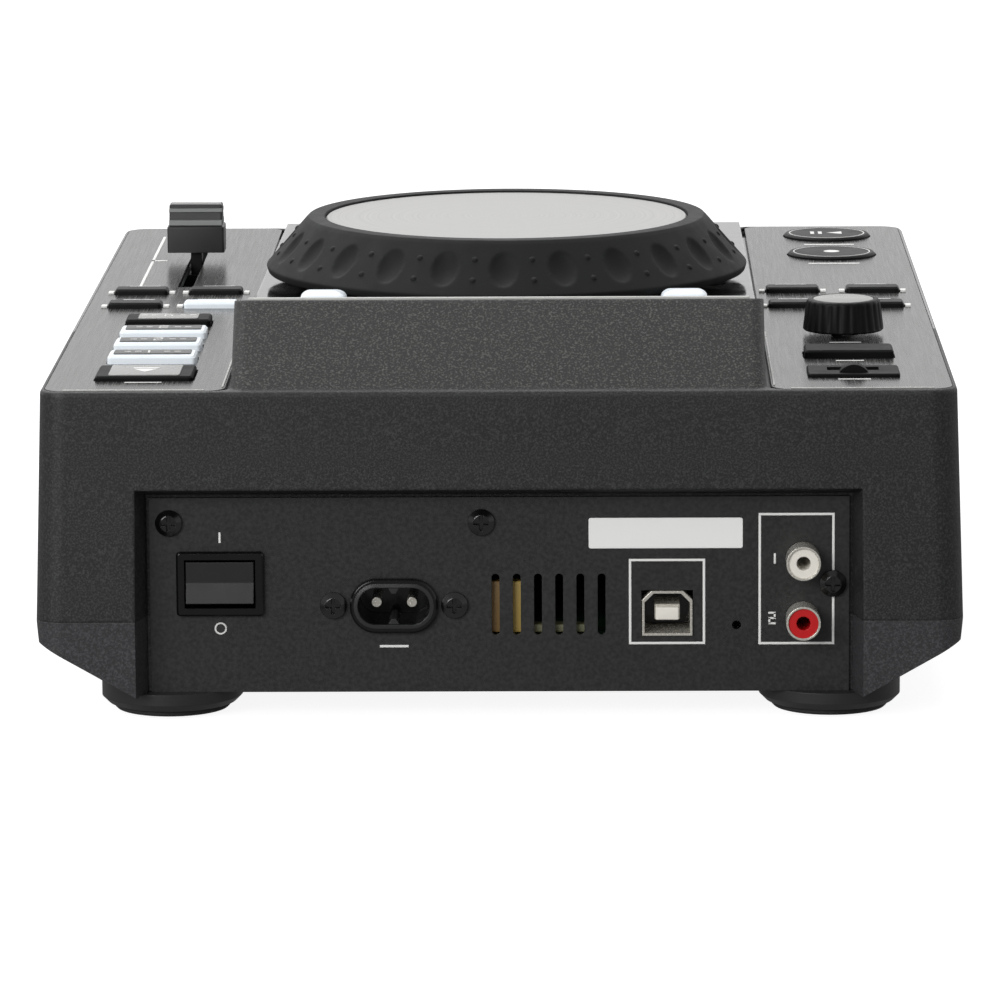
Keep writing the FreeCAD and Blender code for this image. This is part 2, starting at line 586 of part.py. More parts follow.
# Keys: a cap through its hole, a flange that holds it in and a stem down to its switch
switch_top = f"({board_z} + board_thick + switch_height)"
stem_z = f"({switch_top} + key_travel + stop_gap)"
flange_z = f"({plate_z} - stop_gap - key_flange_thick)"


def add_key(key):
    name, x, y, width, depth, rise = key
    cap = slab("Cap_" + name, width, depth, f"{deck_z} + {rise} - {flange_z}", "key_corner",
               "key_edge", at=(x, y, flange_z))
    flange = block("Flange_" + name, f"{width} + 2 * key_flange", f"{depth} + 2 * key_flange",
                   "key_flange_thick", (x, y, flange_z))
    stem = rod("Stem_" + name, "key_stem", f"{flange_z} - {stem_z} + key_flange_thick",
               (x, y, stem_z))
    keep(fuse("Key_" + name, [cap, flange, stem]), name)


for key in key_list():
    add_key(key)
for name, (x, y) in round_places.items():
    top = f"({deck_z} + round_rise - {stem_z})"
    low = f"({flange_z} - {stem_z})"
    outline = [("0", "0"), ("key_stem", "0"), ("key_stem", low), ("round_radius + key_flange", low),
               ("round_radius + key_flange", f"{low} + key_flange_thick"),
               ("round_radius", f"{low} + key_flange_thick"), ("round_radius", f"{top} - key_edge"),
               ("round_radius - key_edge", top), ("0", top)]
    keep(turned("Key_" + name, outline, (x, y, stem_z)), name)

# Lit keys in the raised deck
for side, word in ((-1, "left"), (1, "right")):
    low = f"({deck_z} - key_flange_thick - stop_gap)"
    cap = slab(f"DeckCap{word}", "deck_key_width", "deck_key_depth",
               f"{deck_z} + hump_jog_rise + deck_key_rise - {low}", "key_corner", "key_corner",
               at=(f"{side} * deck_key_x", "deck_key_y", low))
    flange = block(f"DeckFlange{word}", "deck_key_width + 2 * key_flange",
                   "deck_key_depth + 2 * key_flange", "key_flange_thick",
                   (f"{side} * deck_key_x", "deck_key_y", low))
    keep(fuse(f"DeckKey{word}", [cap, flange]), f"deck_button_{word}")

# Browse knob on its push shaft
knob_z = f"({deck_z} + knob_lift)"
knob_blank = turned("KnobBlank", [
    ("knob_bore + shaft_gap", "0"), ("knob_radius", "0"),
    ("knob_radius - knob_taper", "knob_height - knob_edge"),
    ("knob_radius - knob_taper - knob_edge", "knob_height"), ("0", "knob_height"),
    ("0", "knob_bore_depth"), ("knob_bore + shaft_gap", "knob_bore_depth")],
    ("knob_x", "knob_y", knob_z))
flutes = []
for index in range(flute_count):
    angle = 360 * index / flute_count
    flutes.append(rod(f"Flute{index}", "flute_radius", "knob_height - knob_edge",
                      (f"knob_x + (knob_radius + flute_radius / 2) * cos({angle})",
                       f"knob_y + (knob_radius + flute_radius / 2) * sin({angle})", knob_z)))
keep(cut("Knob", knob_blank, flutes), "browse_knob")
encoder_length = f"({knob_z} + knob_bore_depth - shaft_gap - {stem_z})"
keep(turned("EncoderShaft", [
    ("0", "0"), ("knob_bore + key_flange", "0"), ("knob_bore + key_flange", "key_flange_thick"),
    ("knob_bore", "key_flange_thick"), ("knob_bore", encoder_length), ("0", encoder_length)],
    ("knob_x", "knob_y", stem_z)), "encoder_shaft")

# Tempo fader: a track hung under the plate, the carriage in it and the cap above
track_z = f"({plate_z} - track_height)"
track_box = block("TrackBox", "track_width", "track_length", "track_height",
                  ("fader_x", "fader_y", track_z))
track_room = block("TrackRoom", "track_width - 2 * track_wall", "track_length - 2 * track_wall",
                   "track_height - 2 * track_wall", ("fader_x", "fader_y", f"{track_z} + track_wall"))
track_slot = block("TrackSlot", "fader_slot", "fader_slot_length", "3 * track_wall",
                   ("fader_x", "fader_y", f"{plate_z} - 2 * track_wall"))
keep(cut("FaderBody", track_box, [track_room, track_slot]), "fader_body")
slider = block("Slider", "track_width - 2 * track_wall - 2 * carriage_gap", "carriage_length",
               "track_height - 2 * track_wall - 2 * carriage_gap",
               ("fader_x", "fader_y", f"{track_z} + track_wall + carriage_gap"))
stem_top = f"({deck_z} + cap_lift + cap_height / 2)"
stem = block("FaderStem", "stem_width", "stem_depth", f"{stem_top} - {track_z} - track_height / 2",
             ("fader_x", "fader_y", f"{track_z} + track_height / 2"))
keep(fuse("Carriage", [slider, stem]), "fader_carriage")
cap_points = [("-cap_width / 2", "0"), ("cap_width / 2", "0"), ("cap_width / 2", "cap_skirt"),
              ("cap_top_width / 2", "cap_skirt + cap_step"), ("cap_top_width / 2", "cap_height"),
              ("-cap_top_width / 2", "cap_height"), ("-cap_top_width / 2", "cap_skirt + cap_step"),
              ("-cap_width / 2", "cap_skirt")]
cap_front = prism("CapFront", "XZ_Plane", cap_points, "cap_depth",
                  ("fader_x", "fader_y", f"{deck_z} + cap_lift"))
cap_side = [("-cap_depth / 2", "0"), ("cap_depth / 2", "0"), ("cap_depth / 2", "cap_skirt"),
            ("cap_depth / 2 - cap_lean", "cap_height"), ("cap_groove", "cap_height"),
            ("0", "cap_height - cap_groove"), ("-cap_groove", "cap_height"),
            ("cap_lean - cap_depth / 2", "cap_height"), ("-cap_depth / 2", "cap_skirt")]
cap_profile = prism("CapProfile", "YZ_Plane", cap_side, "cap_width + 2",
                    ("fader_x", "fader_y", f"{deck_z} + cap_lift"))
cap_bore = block("CapBore", "stem_width", "stem_depth", "cap_height / 2",
                 ("fader_x", "fader_y", f"{deck_z} + cap_lift"))
keep(cut("FaderCap", common("CapWhole", [cap_front, cap_profile]), [cap_bore]), "fader_cap")

# Jog wheel: rubber ring with finger dimples, top disc, and a web on a shaft in a bush
web_z = f"({jog_top_z} - jog_plate_drop - jog_plate_thick - jog_web_thick)"
seat_rise = "(jog_height - jog_plate_drop - jog_plate_thick)"
ring_inner = f"({jog_hole_radius} - jog_ring_thick / 2)"
ring_blank = turned("RingBlank", [
    (ring_inner, "jog_foot_edge"), ("jog_radius - jog_foot_edge", "0"), ("jog_radius", "jog_foot_edge"),
    ("jog_radius", "jog_skirt"), ("jog_top_radius + jog_top_edge", "jog_height - jog_top_edge"),
    ("jog_top_radius", "jog_height"), (jog_hole_radius, "jog_height"), (jog_hole_radius, seat_rise),
    (ring_inner, seat_rise)], ("0", "jog_y", jog_z))
slope_angle = "atan((jog_height - jog_skirt) / (jog_radius - jog_top_radius))"
slope_radius = "((jog_radius + jog_top_radius) / 2)"
dimple_z = f"({jog_z} + (jog_skirt + jog_height) / 2 + dimple_lift)"
dimples = []
for index in range(dimple_count):
    angle = 360 * index / dimple_count
    dimple = doc.addObject("Part::Ellipsoid", f"Dimple{index}")
    bind(dimple, "Radius1", "dimple_depth")
    bind(dimple, "Radius2", "dimple_length / 2")
    bind(dimple, "Radius3", "dimple_width / 2")
    spot = (f"create(<<vector>>; {slope_radius} * cos({angle}); "
            f"jog_y + {slope_radius} * sin({angle}); {dimple_z})")
    spin = f"create(<<rotation>>; create(<<vector>>; 0; 0; 1); {angle})"
    tilt = f"create(<<rotation>>; create(<<vector>>; 0; 1; 0); {slope_angle})"
    bind(dimple, "Placement", f"create(<<placement>>; {spot}; {spin} * {tilt})")
    dimples.append(dimple)
keep(cut("JogRing", ring_blank, dimples), "jog_ring")
plate_radius = f"({jog_hole_radius} - shaft_gap)"
keep(turned("JogPlate", [
    ("0", "0"), (plate_radius, "0"), (plate_radius, "jog_plate_thick - jog_plate_edge"),
    (f"{plate_radius} - jog_plate_edge", "jog_plate_thick"), ("0", "jog_plate_thick")],
    ("0", "jog_y", f"{web_z} + jog_web_thick")), "jog_plate")
web_radius = f"({ring_inner} - shaft_gap)"
shaft_low = f"({web_z} - jog_shaft_length)"
keep(turned("JogShaft", [
    ("0", "0"), ("jog_shaft_radius", "0"), ("jog_shaft_radius", "jog_shaft_length"),
    (web_radius, "jog_shaft_length"), (web_radius, "jog_shaft_length + jog_web_thick"),
    ("0", "jog_shaft_length + jog_web_thick")], ("0", "jog_y", shaft_low)), "jog_shaft")
bush_bore = "(jog_shaft_radius + shaft_gap)"
bush_outer = "(jog_shaft_radius + jog_bush_wall)"
bush_foot = f"({skin_z} - deck_skin - {bed_z})"
bush_top = f"({web_z} - {bed_z} - jog_web_gap)"
keep(turned("JogBearing", [
    (bush_bore, bush_foot), (bush_outer, bush_foot), (bush_outer, "0"), ("jog_flange_radius", "0"),
    ("jog_flange_radius", "jog_flange_thick"), (bush_outer, "jog_flange_thick"),
    (bush_outer, bush_top), (bush_bore, bush_top)], ("0", "jog_y", bed_z)), "jog_bearing")

# Display: window in the slope and the screen module under it
keep(on_slope("DisplayWindow", "window_width", "window_depth", "window_thick", "window_thick"),
     "display_window")
keep(on_slope("DisplayModule", "window_width - 2 * window_ledge - 2 * window_gap",
              "window_depth - 2 * window_ledge - 2 * window_gap", "screen_thick",
              "window_thick + screen_thick"), "display_module")

# Feet and their pads
foot_top = "(base_height - pad_thick + foot_rise)"
foot_pieces = []
pad_pieces = []
for index, (side, way) in enumerate(((-1, -1), (-1, 1), (1, -1), (1, 1))):
    x, y = f"{side} * foot_x", f"{way} * foot_y"
    foot_pieces.append(turned(f"Foot{index}", [
        ("0", "0"), ("foot_radius - foot_edge", "0"), ("foot_radius", "foot_edge"),
        ("foot_radius", foot_top), ("0", foot_top)], (x, y, "pad_thick")))
    pad_pieces.append(turned(f"Pad{index}", [
        ("0", "0"), ("pad_radius - pad_edge", "0"), ("pad_radius", "pad_edge"),
        ("pad_radius", "pad_thick"), ("0", "pad_thick")], (x, y, "0")))
keep(cut("Feet", group("FootBlanks", foot_pieces), [lower_block]), "feet")
keep(group("FootPads", pad_pieces), "foot_pads")

# Rear panel with its cut-outs
panel_sheet = block("PanelSheet", f"2 * {panel_half} - 2 * panel_gap", "panel_thick",
                    f"{panel_top} - base_height - panel_gap",
                    ("0", f"{seat_y} + panel_thick / 2", "base_height"))
through = "4 * panel_thick"
through_y = f"({panel_y} - 2 * panel_thick)"


def facing_rear(name, width, height, length, at, corner=None, edge=None):
    """Block whose length runs to the rear from its place."""
    return slab(name, width, height, length, corner, edge, at=at, axis=(1, 0, 0), angle="-90")


inlet_z = "(base_height + inlet_rise)"
rocker_z = "(base_height + rocker_rise)"
usb_z = "(base_height + usb_rise)"
rca_places = {"white": "(base_height + rca_high_rise)", "red": "(base_height + rca_low_rise)"}
body_width = "(inlet_cavity_width + 2 * inlet_wall)"
body_height = "(inlet_cavity_height + inlet_wall)"
panel_cuts = [
    facing_rear("InletHole", f"{body_width} + 2 * hole_gap", f"{body_height} + 2 * hole_gap", through,
                ("inlet_x", through_y, inlet_z), f"0.48 * {body_height}"),
    facing_rear("RockerHole", "rocker_frame_width - rocker_rim + 2 * hole_gap",
                "rocker_frame_height - rocker_rim + 2 * hole_gap", through,
                ("rocker_x", through_y, rocker_z)),
    facing_rear("UsbHole", "usb_width + 2 * hole_gap", "usb_height + 2 * hole_gap", through,
                ("usb_x", through_y, usb_z)),
    rod_back("PinHole", "pinhole_radius", through,
             ("pinhole_x", through_y, "base_height + pinhole_rise")),
]
for index in range(vent_count):
    panel_cuts.append(facing_rear(f"Vent{index}", "vent_width", "vent_height", through,
                                  (f"vent_first_x - {index} * vent_pitch", through_y,
                                   "base_height + vent_rise + vent_height / 2"), "0.48 * vent_width"))
for word, z in rca_places.items():
    panel_cuts.append(rod_back(f"RcaHole{word}", "rca_radius - rca_neck + hole_gap", through,
                               ("rca_x", through_y, z)))
keep(cut("RearPanel", panel_sheet, panel_cuts + shank_holes), "rear_panel")


def screw(name, at, axis, angle):
    """Domed head with a cross recess, standing on its place."""
    head = turned(name + "Head", [
        ("0", "-screw_length"), ("screw_shank_radius", "-screw_length"), ("screw_shank_radius", "0"),
        ("screw_head_radius", "0"), ("screw_head_radius", "0.45 * screw_head_height"),
        ("0.6 * screw_head_radius", "screw_head_height"), ("0", "screw_head_height")])
    slots = [slab(f"{name}Slot{index}", width, depth, "screw_head_height",
                  at=("0", "0", "0.35 * screw_head_height"))
             for index, (width, depth) in enumerate((("screw_cross", "screw_slot"),
                                                     ("screw_slot", "screw_cross")))]
    return place(cut(name, head, slots), at, axis=axis, angle=angle)


keep(group("PanelScrews", [screw(f"PanelScrew{index}", (x, panel_y, f"base_height + {rise}"),
                                 (1, 0, 0), "-90")
                           for index, (x, rise) in enumerate(screw_places())]), "panel_screws")
keep(group("CaseScrews", [screw(f"CaseScrew{index}", (x, y, "base_height"), (1, 0, 0), "180")
                          for index, (x, y) in enumerate(case_screw_places)]), "case_screws")

# Mains inlet, two pins in a figure-8 cavity
inlet_flange = facing_rear("InletFlange", "inlet_width", "inlet_height", "inlet_stand",
                           ("inlet_x", panel_y, inlet_z), "0.48 * inlet_height", "key_edge")
inlet_body = facing_rear("InletBody", body_width, body_height, "inlet_depth",
                         ("inlet_x", f"{panel_y} - inlet_depth", inlet_z), f"0.48 * {body_height}")
inlet_cavity = facing_rear("InletCavity", "inlet_cavity_width", "inlet_cavity_height",
                           "inlet_depth + inlet_stand",
                           ("inlet_x", f"{panel_y} - inlet_depth + case_wall", inlet_z),
                           "0.48 * inlet_cavity_height")
keep(cut("MainsInlet", fuse("InletWhole", [inlet_flange, inlet_body]), [inlet_cavity]), "mains_inlet")
keep(group("InletPins", [rod_back(f"InletPin{side}", "pin_radius", "pin_length",
                                  (f"inlet_x + {side} * pin_spacing / 2",
                                   f"{panel_y} - inlet_depth + case_wall", inlet_z))
                         for side in (-1, 1)]), "inlet_pins")

# Mains rocker switch: frame in the panel and the rocker on its pivot
frame_flange = facing_rear("FrameFlange", "rocker_frame_width", "rocker_frame_height", "rocker_stand",
                           ("rocker_x", panel_y, rocker_z), "key_corner", "key_edge")
frame_body = facing_rear("FrameBody", "rocker_frame_width - rocker_rim",
                         "rocker_frame_height - rocker_rim", "rocker_depth",
                         ("rocker_x", f"{panel_y} - rocker_depth", rocker_z))
frame_room = facing_rear("FrameRoom", "rocker_frame_width - 2 * rocker_rim",
                         "rocker_frame_height - 2 * rocker_rim", "rocker_depth + rocker_stand",
                         ("rocker_x", f"{panel_y} - rocker_depth + rocker_rim", rocker_z))
pivot_y = f"({panel_y} + rocker_stand / 2 - rocker_pivot)"
pin_reach = "((rocker_frame_width - rocker_rim - rocker_pin_gap) / 2)"
pin_bore = rod_right("RockerBore", "rocker_pin_radius + shaft_gap",
                     f"2 * {pin_reach} + rocker_pin_gap / 2",
                     (f"rocker_x - {pin_reach} - rocker_pin_gap / 4", pivot_y, rocker_z))
keep(cut("SwitchFrame", fuse("FrameWhole", [frame_flange, frame_body]), [frame_room, pin_bore]),
     "switch_frame")
rocker_half = "(rocker_frame_height / 2 - rocker_rim - rocker_gap - rocker_pin_radius / 2)"
rocker_points = [("-rocker_tail", "-rocker_tail_half"),
                 ("rocker_nose - rocker_lip", f"rocker_gap - {rocker_half}"),
                 ("rocker_nose", f"-{rocker_half}"), ("rocker_nose - rocker_dip", "0"),
                 ("rocker_nose", rocker_half),
                 ("rocker_nose - rocker_lip", f"{rocker_half} - rocker_gap"),
                 ("-rocker_tail", "rocker_tail_half")]
rocker_body = prism("RockerBody", "YZ_Plane", rocker_points,
                    "rocker_frame_width - 2 * rocker_rim - 2 * rocker_gap",
                    ("rocker_x", pivot_y, rocker_z), axis=(1, 0, 0), angle="rocker_tilt")
rocker_pin = rod_right("RockerPin", "rocker_pin_radius", f"2 * {pin_reach}",
                       (f"rocker_x - {pin_reach}", pivot_y, rocker_z))
keep(fuse("RockerWhole", [rocker_body, rocker_pin]), "power_rocker")

# Computer socket: folded metal shell with chamfered top corners, and its tongue
def usb_outline(inset):
    across = f"(usb_width / 2 - {inset})"
    up = f"(usb_height / 2 - {inset})"
    return [(f"-{across}", f"-{up}"), (across, f"-{up}"), (across, f"{up} - usb_chamfer"),
            (f"{across} - usb_chamfer", up), (f"usb_chamfer - {across}", up),
            (f"-{across}", f"{up} - usb_chamfer")]


usb_y = f"({panel_y} - usb_depth / 2 + usb_stand)"
usb_shell = prism("UsbShell", "XZ_Plane", usb_outline("0"), "usb_depth", ("usb_x", usb_y, usb_z))
usb_room = prism("UsbRoom", "XZ_Plane", usb_outline("usb_wall"), "usb_depth",
                 ("usb_x", f"{usb_y} + usb_back", usb_z))
usb_tongue = block("UsbTongue", "usb_width / 2", "usb_depth - 2 * usb_back", "usb_height / 3",
                   ("usb_x", f"{usb_y} - usb_wall", f"{usb_z} - usb_height / 6"))
keep(fuse("UsbSocket", [cut("UsbCan", usb_shell, [usb_room]), usb_tongue]), "usb_b_socket")

# Audio outputs: metal sleeves over coloured insulators on one block
sleeves = []
for word, z in rca_places.items():
    neck = rod_back(f"SleeveNeck{word}", "rca_radius - rca_neck", "panel_thick + rca_foot",
                    ("rca_x", seat_y, z))
    tube = rod_back(f"SleeveTube{word}", "rca_radius", "rca_stand - rca_foot",
                    ("rca_x", f"{panel_y} + rca_foot", z))
    tube_room = rod_back(f"SleeveRoom{word}", "rca_radius - rca_wall", "rca_stand + 3 * panel_thick",
                         ("rca_x", f"{seat_y} - panel_thick", z))
    sleeves.append(cut(f"Sleeve{word}", fuse(f"SleeveWhole{word}", [neck, tube]), [tube_room]))
    core = rod_back(f"Core{word}", "rca_radius - rca_wall", "rca_stand + panel_thick - rca_core_drop",
                    ("rca_x", seat_y, z))
    core_block = block(f"CoreBlock{word}", "rca_block_width", "rca_depth", "2 * rca_radius",
                       ("rca_x", f"{seat_y} - rca_depth / 2", f"{z} - rca_radius"))
    pin_hole = rod_back(f"CoreHole{word}", "rca_pin_hole", "rca_stand + rca_depth",
                        ("rca_x", f"{seat_y} - rca_depth / 2", z))
    keep(cut(f"Ring{word}", fuse(f"RingWhole{word}", [core, core_block]), [pin_hole]),
         f"rca_ring_{word}")
keep(group("Sleeves", sleeves), "rca_sleeves")

# Stick socket in the left plate: dark surround with an arched hood over an upright mouth
stick_plate = slab("StickPlate", "stick_width", "stick_depth", "stick_rise", "key_corner",
                   "stick_rise / 3", at=("stick_x", "stick_y", deck_z))
stick_body = block("StickBody", "stick_width - 2 * window_ledge - 2 * key_gap",
                   "stick_depth - window_ledge - 2 * key_gap", "stick_deep",
                   ("stick_x", "stick_y", f"{deck_z} - stick_deep"))
stick_hood = rod_back("StickHood", "stick_hood", "stick_depth / 4",
                      ("stick_x", "stick_y + stick_depth / 4 - window_ledge / 2 - 2 * key_gap",
                       f"{deck_z} - stick_hood / 3"))
stick_z = f"({deck_z} - stick_deep + stick_floor)"
stick_mouth = block("StickMouth", "stick_mouth_width", "stick_mouth_height", "stick_deep",
                    ("stick_x", "stick_y - stick_mouth_shift", stick_z))
stick_tongue = block("StickTongue", "stick_mouth_width - stick_tongue_gap", "stick_mouth_height / 3",
                     "stick_deep - 2 * stick_floor",
                     ("stick_x", "stick_y - stick_mouth_shift - stick_mouth_height / 4", stick_z))
stick_shell = cut("StickShell", fuse("StickWhole", [stick_plate, stick_body, stick_hood]), [stick_mouth])
keep(fuse("StickSocket", [stick_shell, stick_tongue]), "usb_a_socket")


# Control boards with a switch under each key, on posts from the plates
def control_board(word, side, front, front_post_top, openings):
    rear = f"({plate_length} / 2 - board_end)"
    board = block(f"{word}Board", "board_width", f"{rear} - {front}", "board_thick",
                  (f"{side} * control_x", f"({rear} + {front}) / 2", board_z))
    pieces = [board]
    for end, y, top in (("Rear", f"{rear} - post_inset", skin_z),
                        ("Front", f"{front} + post_inset", front_post_top)):
        for way in (-1, 1):
            pieces.append(rod(f"{word}{end}Post{way}", "post_radius", f"{top} - {board_z}",
                              (f"{side} * (control_x + {way} * board_width / 3)", y, board_z)))
    whole = fuse(f"{word}BoardWhole", pieces)
    return cut(f"{word}BoardCut", whole, openings) if openings else whole


stick_clear = block("StickClear", "stick_width", "stick_depth + 2 * post_inset", "3 * board_thick",
                    ("stick_x", "stick_y", f"{board_z} - board_thick"))
control_pieces = [
    control_board("Left", -1, f"(2 * board_end - {plate_length} / 2)", skin_z, [stick_clear]),
    control_board("Right", 1, "(fader_y + track_length / 2 + carriage_gap)", plate_z, []),
]
switch_places = [(key[1], key[2]) for key in key_list()] + list(round_places.values())
switch_places.append(("knob_x", "knob_y"))
for index, (x, y) in enumerate(switch_places):
    control_pieces.append(block(f"Switch{index}", "switch_size", "switch_size", "switch_height",
                                (x, y, f"{board_z} + board_thick")))
keep(group("ControlBoards", control_pieces), "control_boards")

# Boards in the floor, on the lower shell's pillars
board_length = "(main_board_rear - main_board_front)"
board_middle = "((main_board_rear + main_board_front) / 2)"
main_piece = block("MainSheet", "main_board_split - main_board_left", board_length, "board_thick",
                   ("(main_board_split + main_board_left) / 2", board_middle, main_board_z))
chips = []
for across, along, width in ((50, -13.5, 14), (18, -31.5, 9), (70, -34, 7)):
    chips.append(block(f"Chip{len(chips)}", str(width), str(width), "chip_height",
                       (f"main_board_left + {across}", f"{board_middle} + {along}", main_board_top)))
keep(fuse("MainBoard", [main_piece] + chips), "main_board")
power_left = "(main_board_split + split_gap)"
power_piece = block("PowerSheet", f"power_board_right - {power_left}", board_length, "board_thick",
                    (f"({power_left} + power_board_right) / 2", board_middle, main_board_z))
transformer = block("Transformer", "transformer_width", "transformer_depth", "transformer_height",
                    ("power_board_right - transformer_inset", board_middle, main_board_top))
capacitor = rod("Capacitor", "capacitor_radius", "capacitor_height",
                ("power_board_right - capacitor_inset", board_middle, main_board_top))
heat_fin = block("HeatFin", "fin_thick", "fin_length", "fin_height",
                 ("main_board_split + fin_inset", board_middle, main_board_top))
keep(fuse("PowerBoard", [power_piece, transformer, capacitor, heat_fin]), "power_board")

# Disc drive: plate on rubber dampers, brackets for rods and screw, posts for the clamp
drive_length = "(drive_plate_rear - drive_plate_front)"
drive_middle = "((drive_plate_rear + drive_plate_front) / 2)"
drive_sheet = block("DriveSheet", "drive_plate_width", drive_length, "drive_plate_thick",
                    ("0", drive_middle, drive_z))
bracket_width = "(2 * (rod_x + bracket_side))"
brackets = [block(f"Bracket{index}", bracket_width, "bracket_thick", "bracket_height + drive_plate_thick",
                  ("0", y, drive_z)) for index, y in enumerate(("bracket_front_y", "bracket_rear_y"))]
clamp_z = f"({slot_z} + clamp_rise)"
clamp_y = "(drive_plate_rear - clamp_inset)"
clamp_posts = [block(f"ClampPost{side}", "post_thick", "post_length", f"{clamp_z} + post_head - {drive_z}",
                     (f"{side} * (clamp_width / 2 + post_thick / 2 + clamp_gap)", clamp_y, drive_z))
               for side in (-1, 1)]
roller_z = f"({slot_z} - roller_radius - turntable_drop / 3)"
ear_x = "(roller_length / 2 + ear_gap + post_thick / 2)"
ears = [block(f"Ear{side}", "post_thick", "ear_length", f"{roller_z} + ear_head - {drive_z}",
              (f"{side} * {ear_x}", "roller_y", drive_z)) for side in (-1, 1)]
rod_sites = [f"{side} * rod_x" for side in (-1, 1)]
hole_span = "(bracket_pitch + 4 * bracket_thick)"
hole_start = "(bracket_front_y - 2 * bracket_thick)"
rod_span = "(bracket_pitch + bracket_thick)"
rod_start = "(bracket_front_y - bracket_thick / 2)"
drive_holes = [rod_back(f"RodHole{index}", "rod_radius", hole_span, (x, hole_start, rod_z))
               for index, x in enumerate(rod_sites)]
drive_holes.append(rod_back("ScrewHole", "screw_radius + shaft_gap", hole_span,
                            ("screw_x", hole_start, rod_z)))
drive_holes.append(rod_right("ClampHole", "clamp_pin_radius + shaft_gap", "2 * clamp_width",
                             ("-clamp_width", clamp_y, clamp_z)))
drive_holes.append(rod_right("RollerHole", "roller_radius / 2 + shaft_gap", "2 * roller_length",
                             ("-roller_length", "roller_y", roller_z)))
keep(cut("DriveFrame", fuse("DriveWhole", [drive_sheet] + brackets + clamp_posts + ears), drive_holes),
     "drive_frame")
keep(group("Dampers", [rod(f"Damper{index}", "damper_radius", f"{drive_z} - {floor_z}", (x, y, floor_z))
                       for index, (x, y) in enumerate(damper_places)]), "drive_dampers")
keep(group("GuideRods", [rod_back(f"GuideRod{index}", "rod_radius", rod_span, (x, rod_start, rod_z))
                         for index, x in enumerate(rod_sites)]), "guide_rods")
keep(rod_back("LeadScrew", "screw_radius", rod_span, ("screw_x", rod_start, rod_z)), "lead_screw")
spindle_motor = rod("SpindleMotor", "motor_radius", "motor_height", ("0", "spindle_y", drive_top))
spindle_bore = rod("SpindleBore", "spindle_radius + shaft_gap", "motor_height",
                   ("0", "spindle_y", f"{drive_top} + motor_floor"))
feed_motor_y = "(bracket_rear_y + bracket_thick / 2 + shaft_gap)"
feed_motor = rod_back("FeedMotor", "feed_motor_radius", "feed_motor_length",
                      ("screw_x", feed_motor_y, rod_z))
motor_foot = block("MotorFoot", "motor_foot_width", "feed_motor_length", f"{rod_z} - {drive_top}",
                   ("screw_x", f"{feed_motor_y} + feed_motor_length / 2", drive_top))
keep(group("DriveMotors", [cut("SpindleMotorCut", spindle_motor, [spindle_bore]),
                           fuse("FeedMotorWhole", [feed_motor, motor_foot])]), "drive_motors")
table_z = f"({slot_z} - turntable_drop)"
spindle_foot = f"({drive_top} + 1.5 * motor_floor - {table_z})"
keep(turned("Turntable", [
    ("0", spindle_foot), ("spindle_radius", spindle_foot), ("spindle_radius", "0"),
    ("turntable_radius", "0"), ("turntable_radius", "turntable_thick"),
    ("hub_radius", "turntable_thick"), ("hub_radius - hub_edge", "turntable_thick + hub_height"),
    ("0", "turntable_thick + hub_height")], ("0", "spindle_y", table_z)), "turntable")
axle_reach = "(roller_length / 2 + ear_gap + post_thick)"
roller_axle = rod_right("RollerAxle", "roller_radius / 2", f"2 * {axle_reach}",
                        (f"-{axle_reach}", "roller_y", roller_z))
roller_rubber = rod_right("RollerRubber", "roller_radius", "roller_length",
                          ("-roller_length / 2", "roller_y", roller_z))
keep(fuse("FeedRoller", [roller_axle, roller_rubber]), "feed_roller")
sled_block = block("SledBlock", "2 * (rod_x + sled_overhang)", "sled_length", "sled_height",
                   ("0", "sled_y", f"{rod_z} - sled_height / 2"))
lens = rod("Lens", "lens_radius", "lens_height", ("0", "sled_y", f"{rod_z} + sled_height / 2"))
sled_hole_start = "(sled_y - sled_length)"
sled_holes = [rod_back(f"SledHole{index}", "rod_radius + shaft_gap", "2 * sled_length",
                       (x, sled_hole_start, rod_z)) for index, x in enumerate(rod_sites)]
sled_holes.append(rod_back("SledScrewHole", "screw_radius + sled_screw_gap", "2 * sled_length",
                           ("screw_x", sled_hole_start, rod_z)))
keep(cut("PickupSled", fuse("SledWhole", [sled_block, lens]), sled_holes), "pickup_sled")
clamp_front = "(spindle_y - clamp_tip)"
clamp_sheet = block("ClampSheet", "clamp_width", f"{clamp_y} - {clamp_front}", "clamp_thick",
                    ("0", f"({clamp_y} + {clamp_front}) / 2", f"{clamp_z} - clamp_thick / 2"))
clamp_reach = "(clamp_width / 2 + clamp_gap + post_thick)"
clamp_pin = rod_right("ClampPin", "clamp_pin_radius", f"2 * {clamp_reach}",
                      (f"-{clamp_reach}", clamp_y, clamp_z))
clamp_puck = rod("ClampPuck", "puck_radius", "puck_drop", ("0", "spindle_y", f"{clamp_z} - puck_drop"))
keep(fuse("ClampArm", [clamp_sheet, clamp_pin, clamp_puck]), "clamp_arm")

# Slot trim in the front wall
front_y = "(-case_length / 2)"
bezel_depth = "(case_wall + bezel_reach + bezel_stand)"
bezel_block = block("BezelBlock", "slot_width + 2 * bezel_wall", bezel_depth,
                    "slot_height + 2 * bezel_wall",
                    ("0", f"{front_y} + {bezel_depth} / 2 + plate_gap",
                     f"{slot_z} - slot_height / 2 - bezel_wall"))
bezel_mouth = block("BezelMouth", "slot_width", "6 * case_wall", "slot_height",
                    ("0", front_y, f"{slot_z} - slot_height / 2"))
keep(cut("SlotBezel", bezel_block, [bezel_mouth]), "slot_bezel")

doc.recompute()
failed = [thing.Label for thing in doc.Objects if {"Invalid", "Error"} & set(thing.State)]
assert not failed, f"failed objects: {failed}"
for node in nodes:
    assert not node.Shape.isNull() and node.Shape.isValid(), node.Label
for node in nodes:
    node.Shape.exportStep(f"parts/{node.Label}.step")
    print(node.Label, len(node.Shape.Solids), round(node.Shape.Volume))
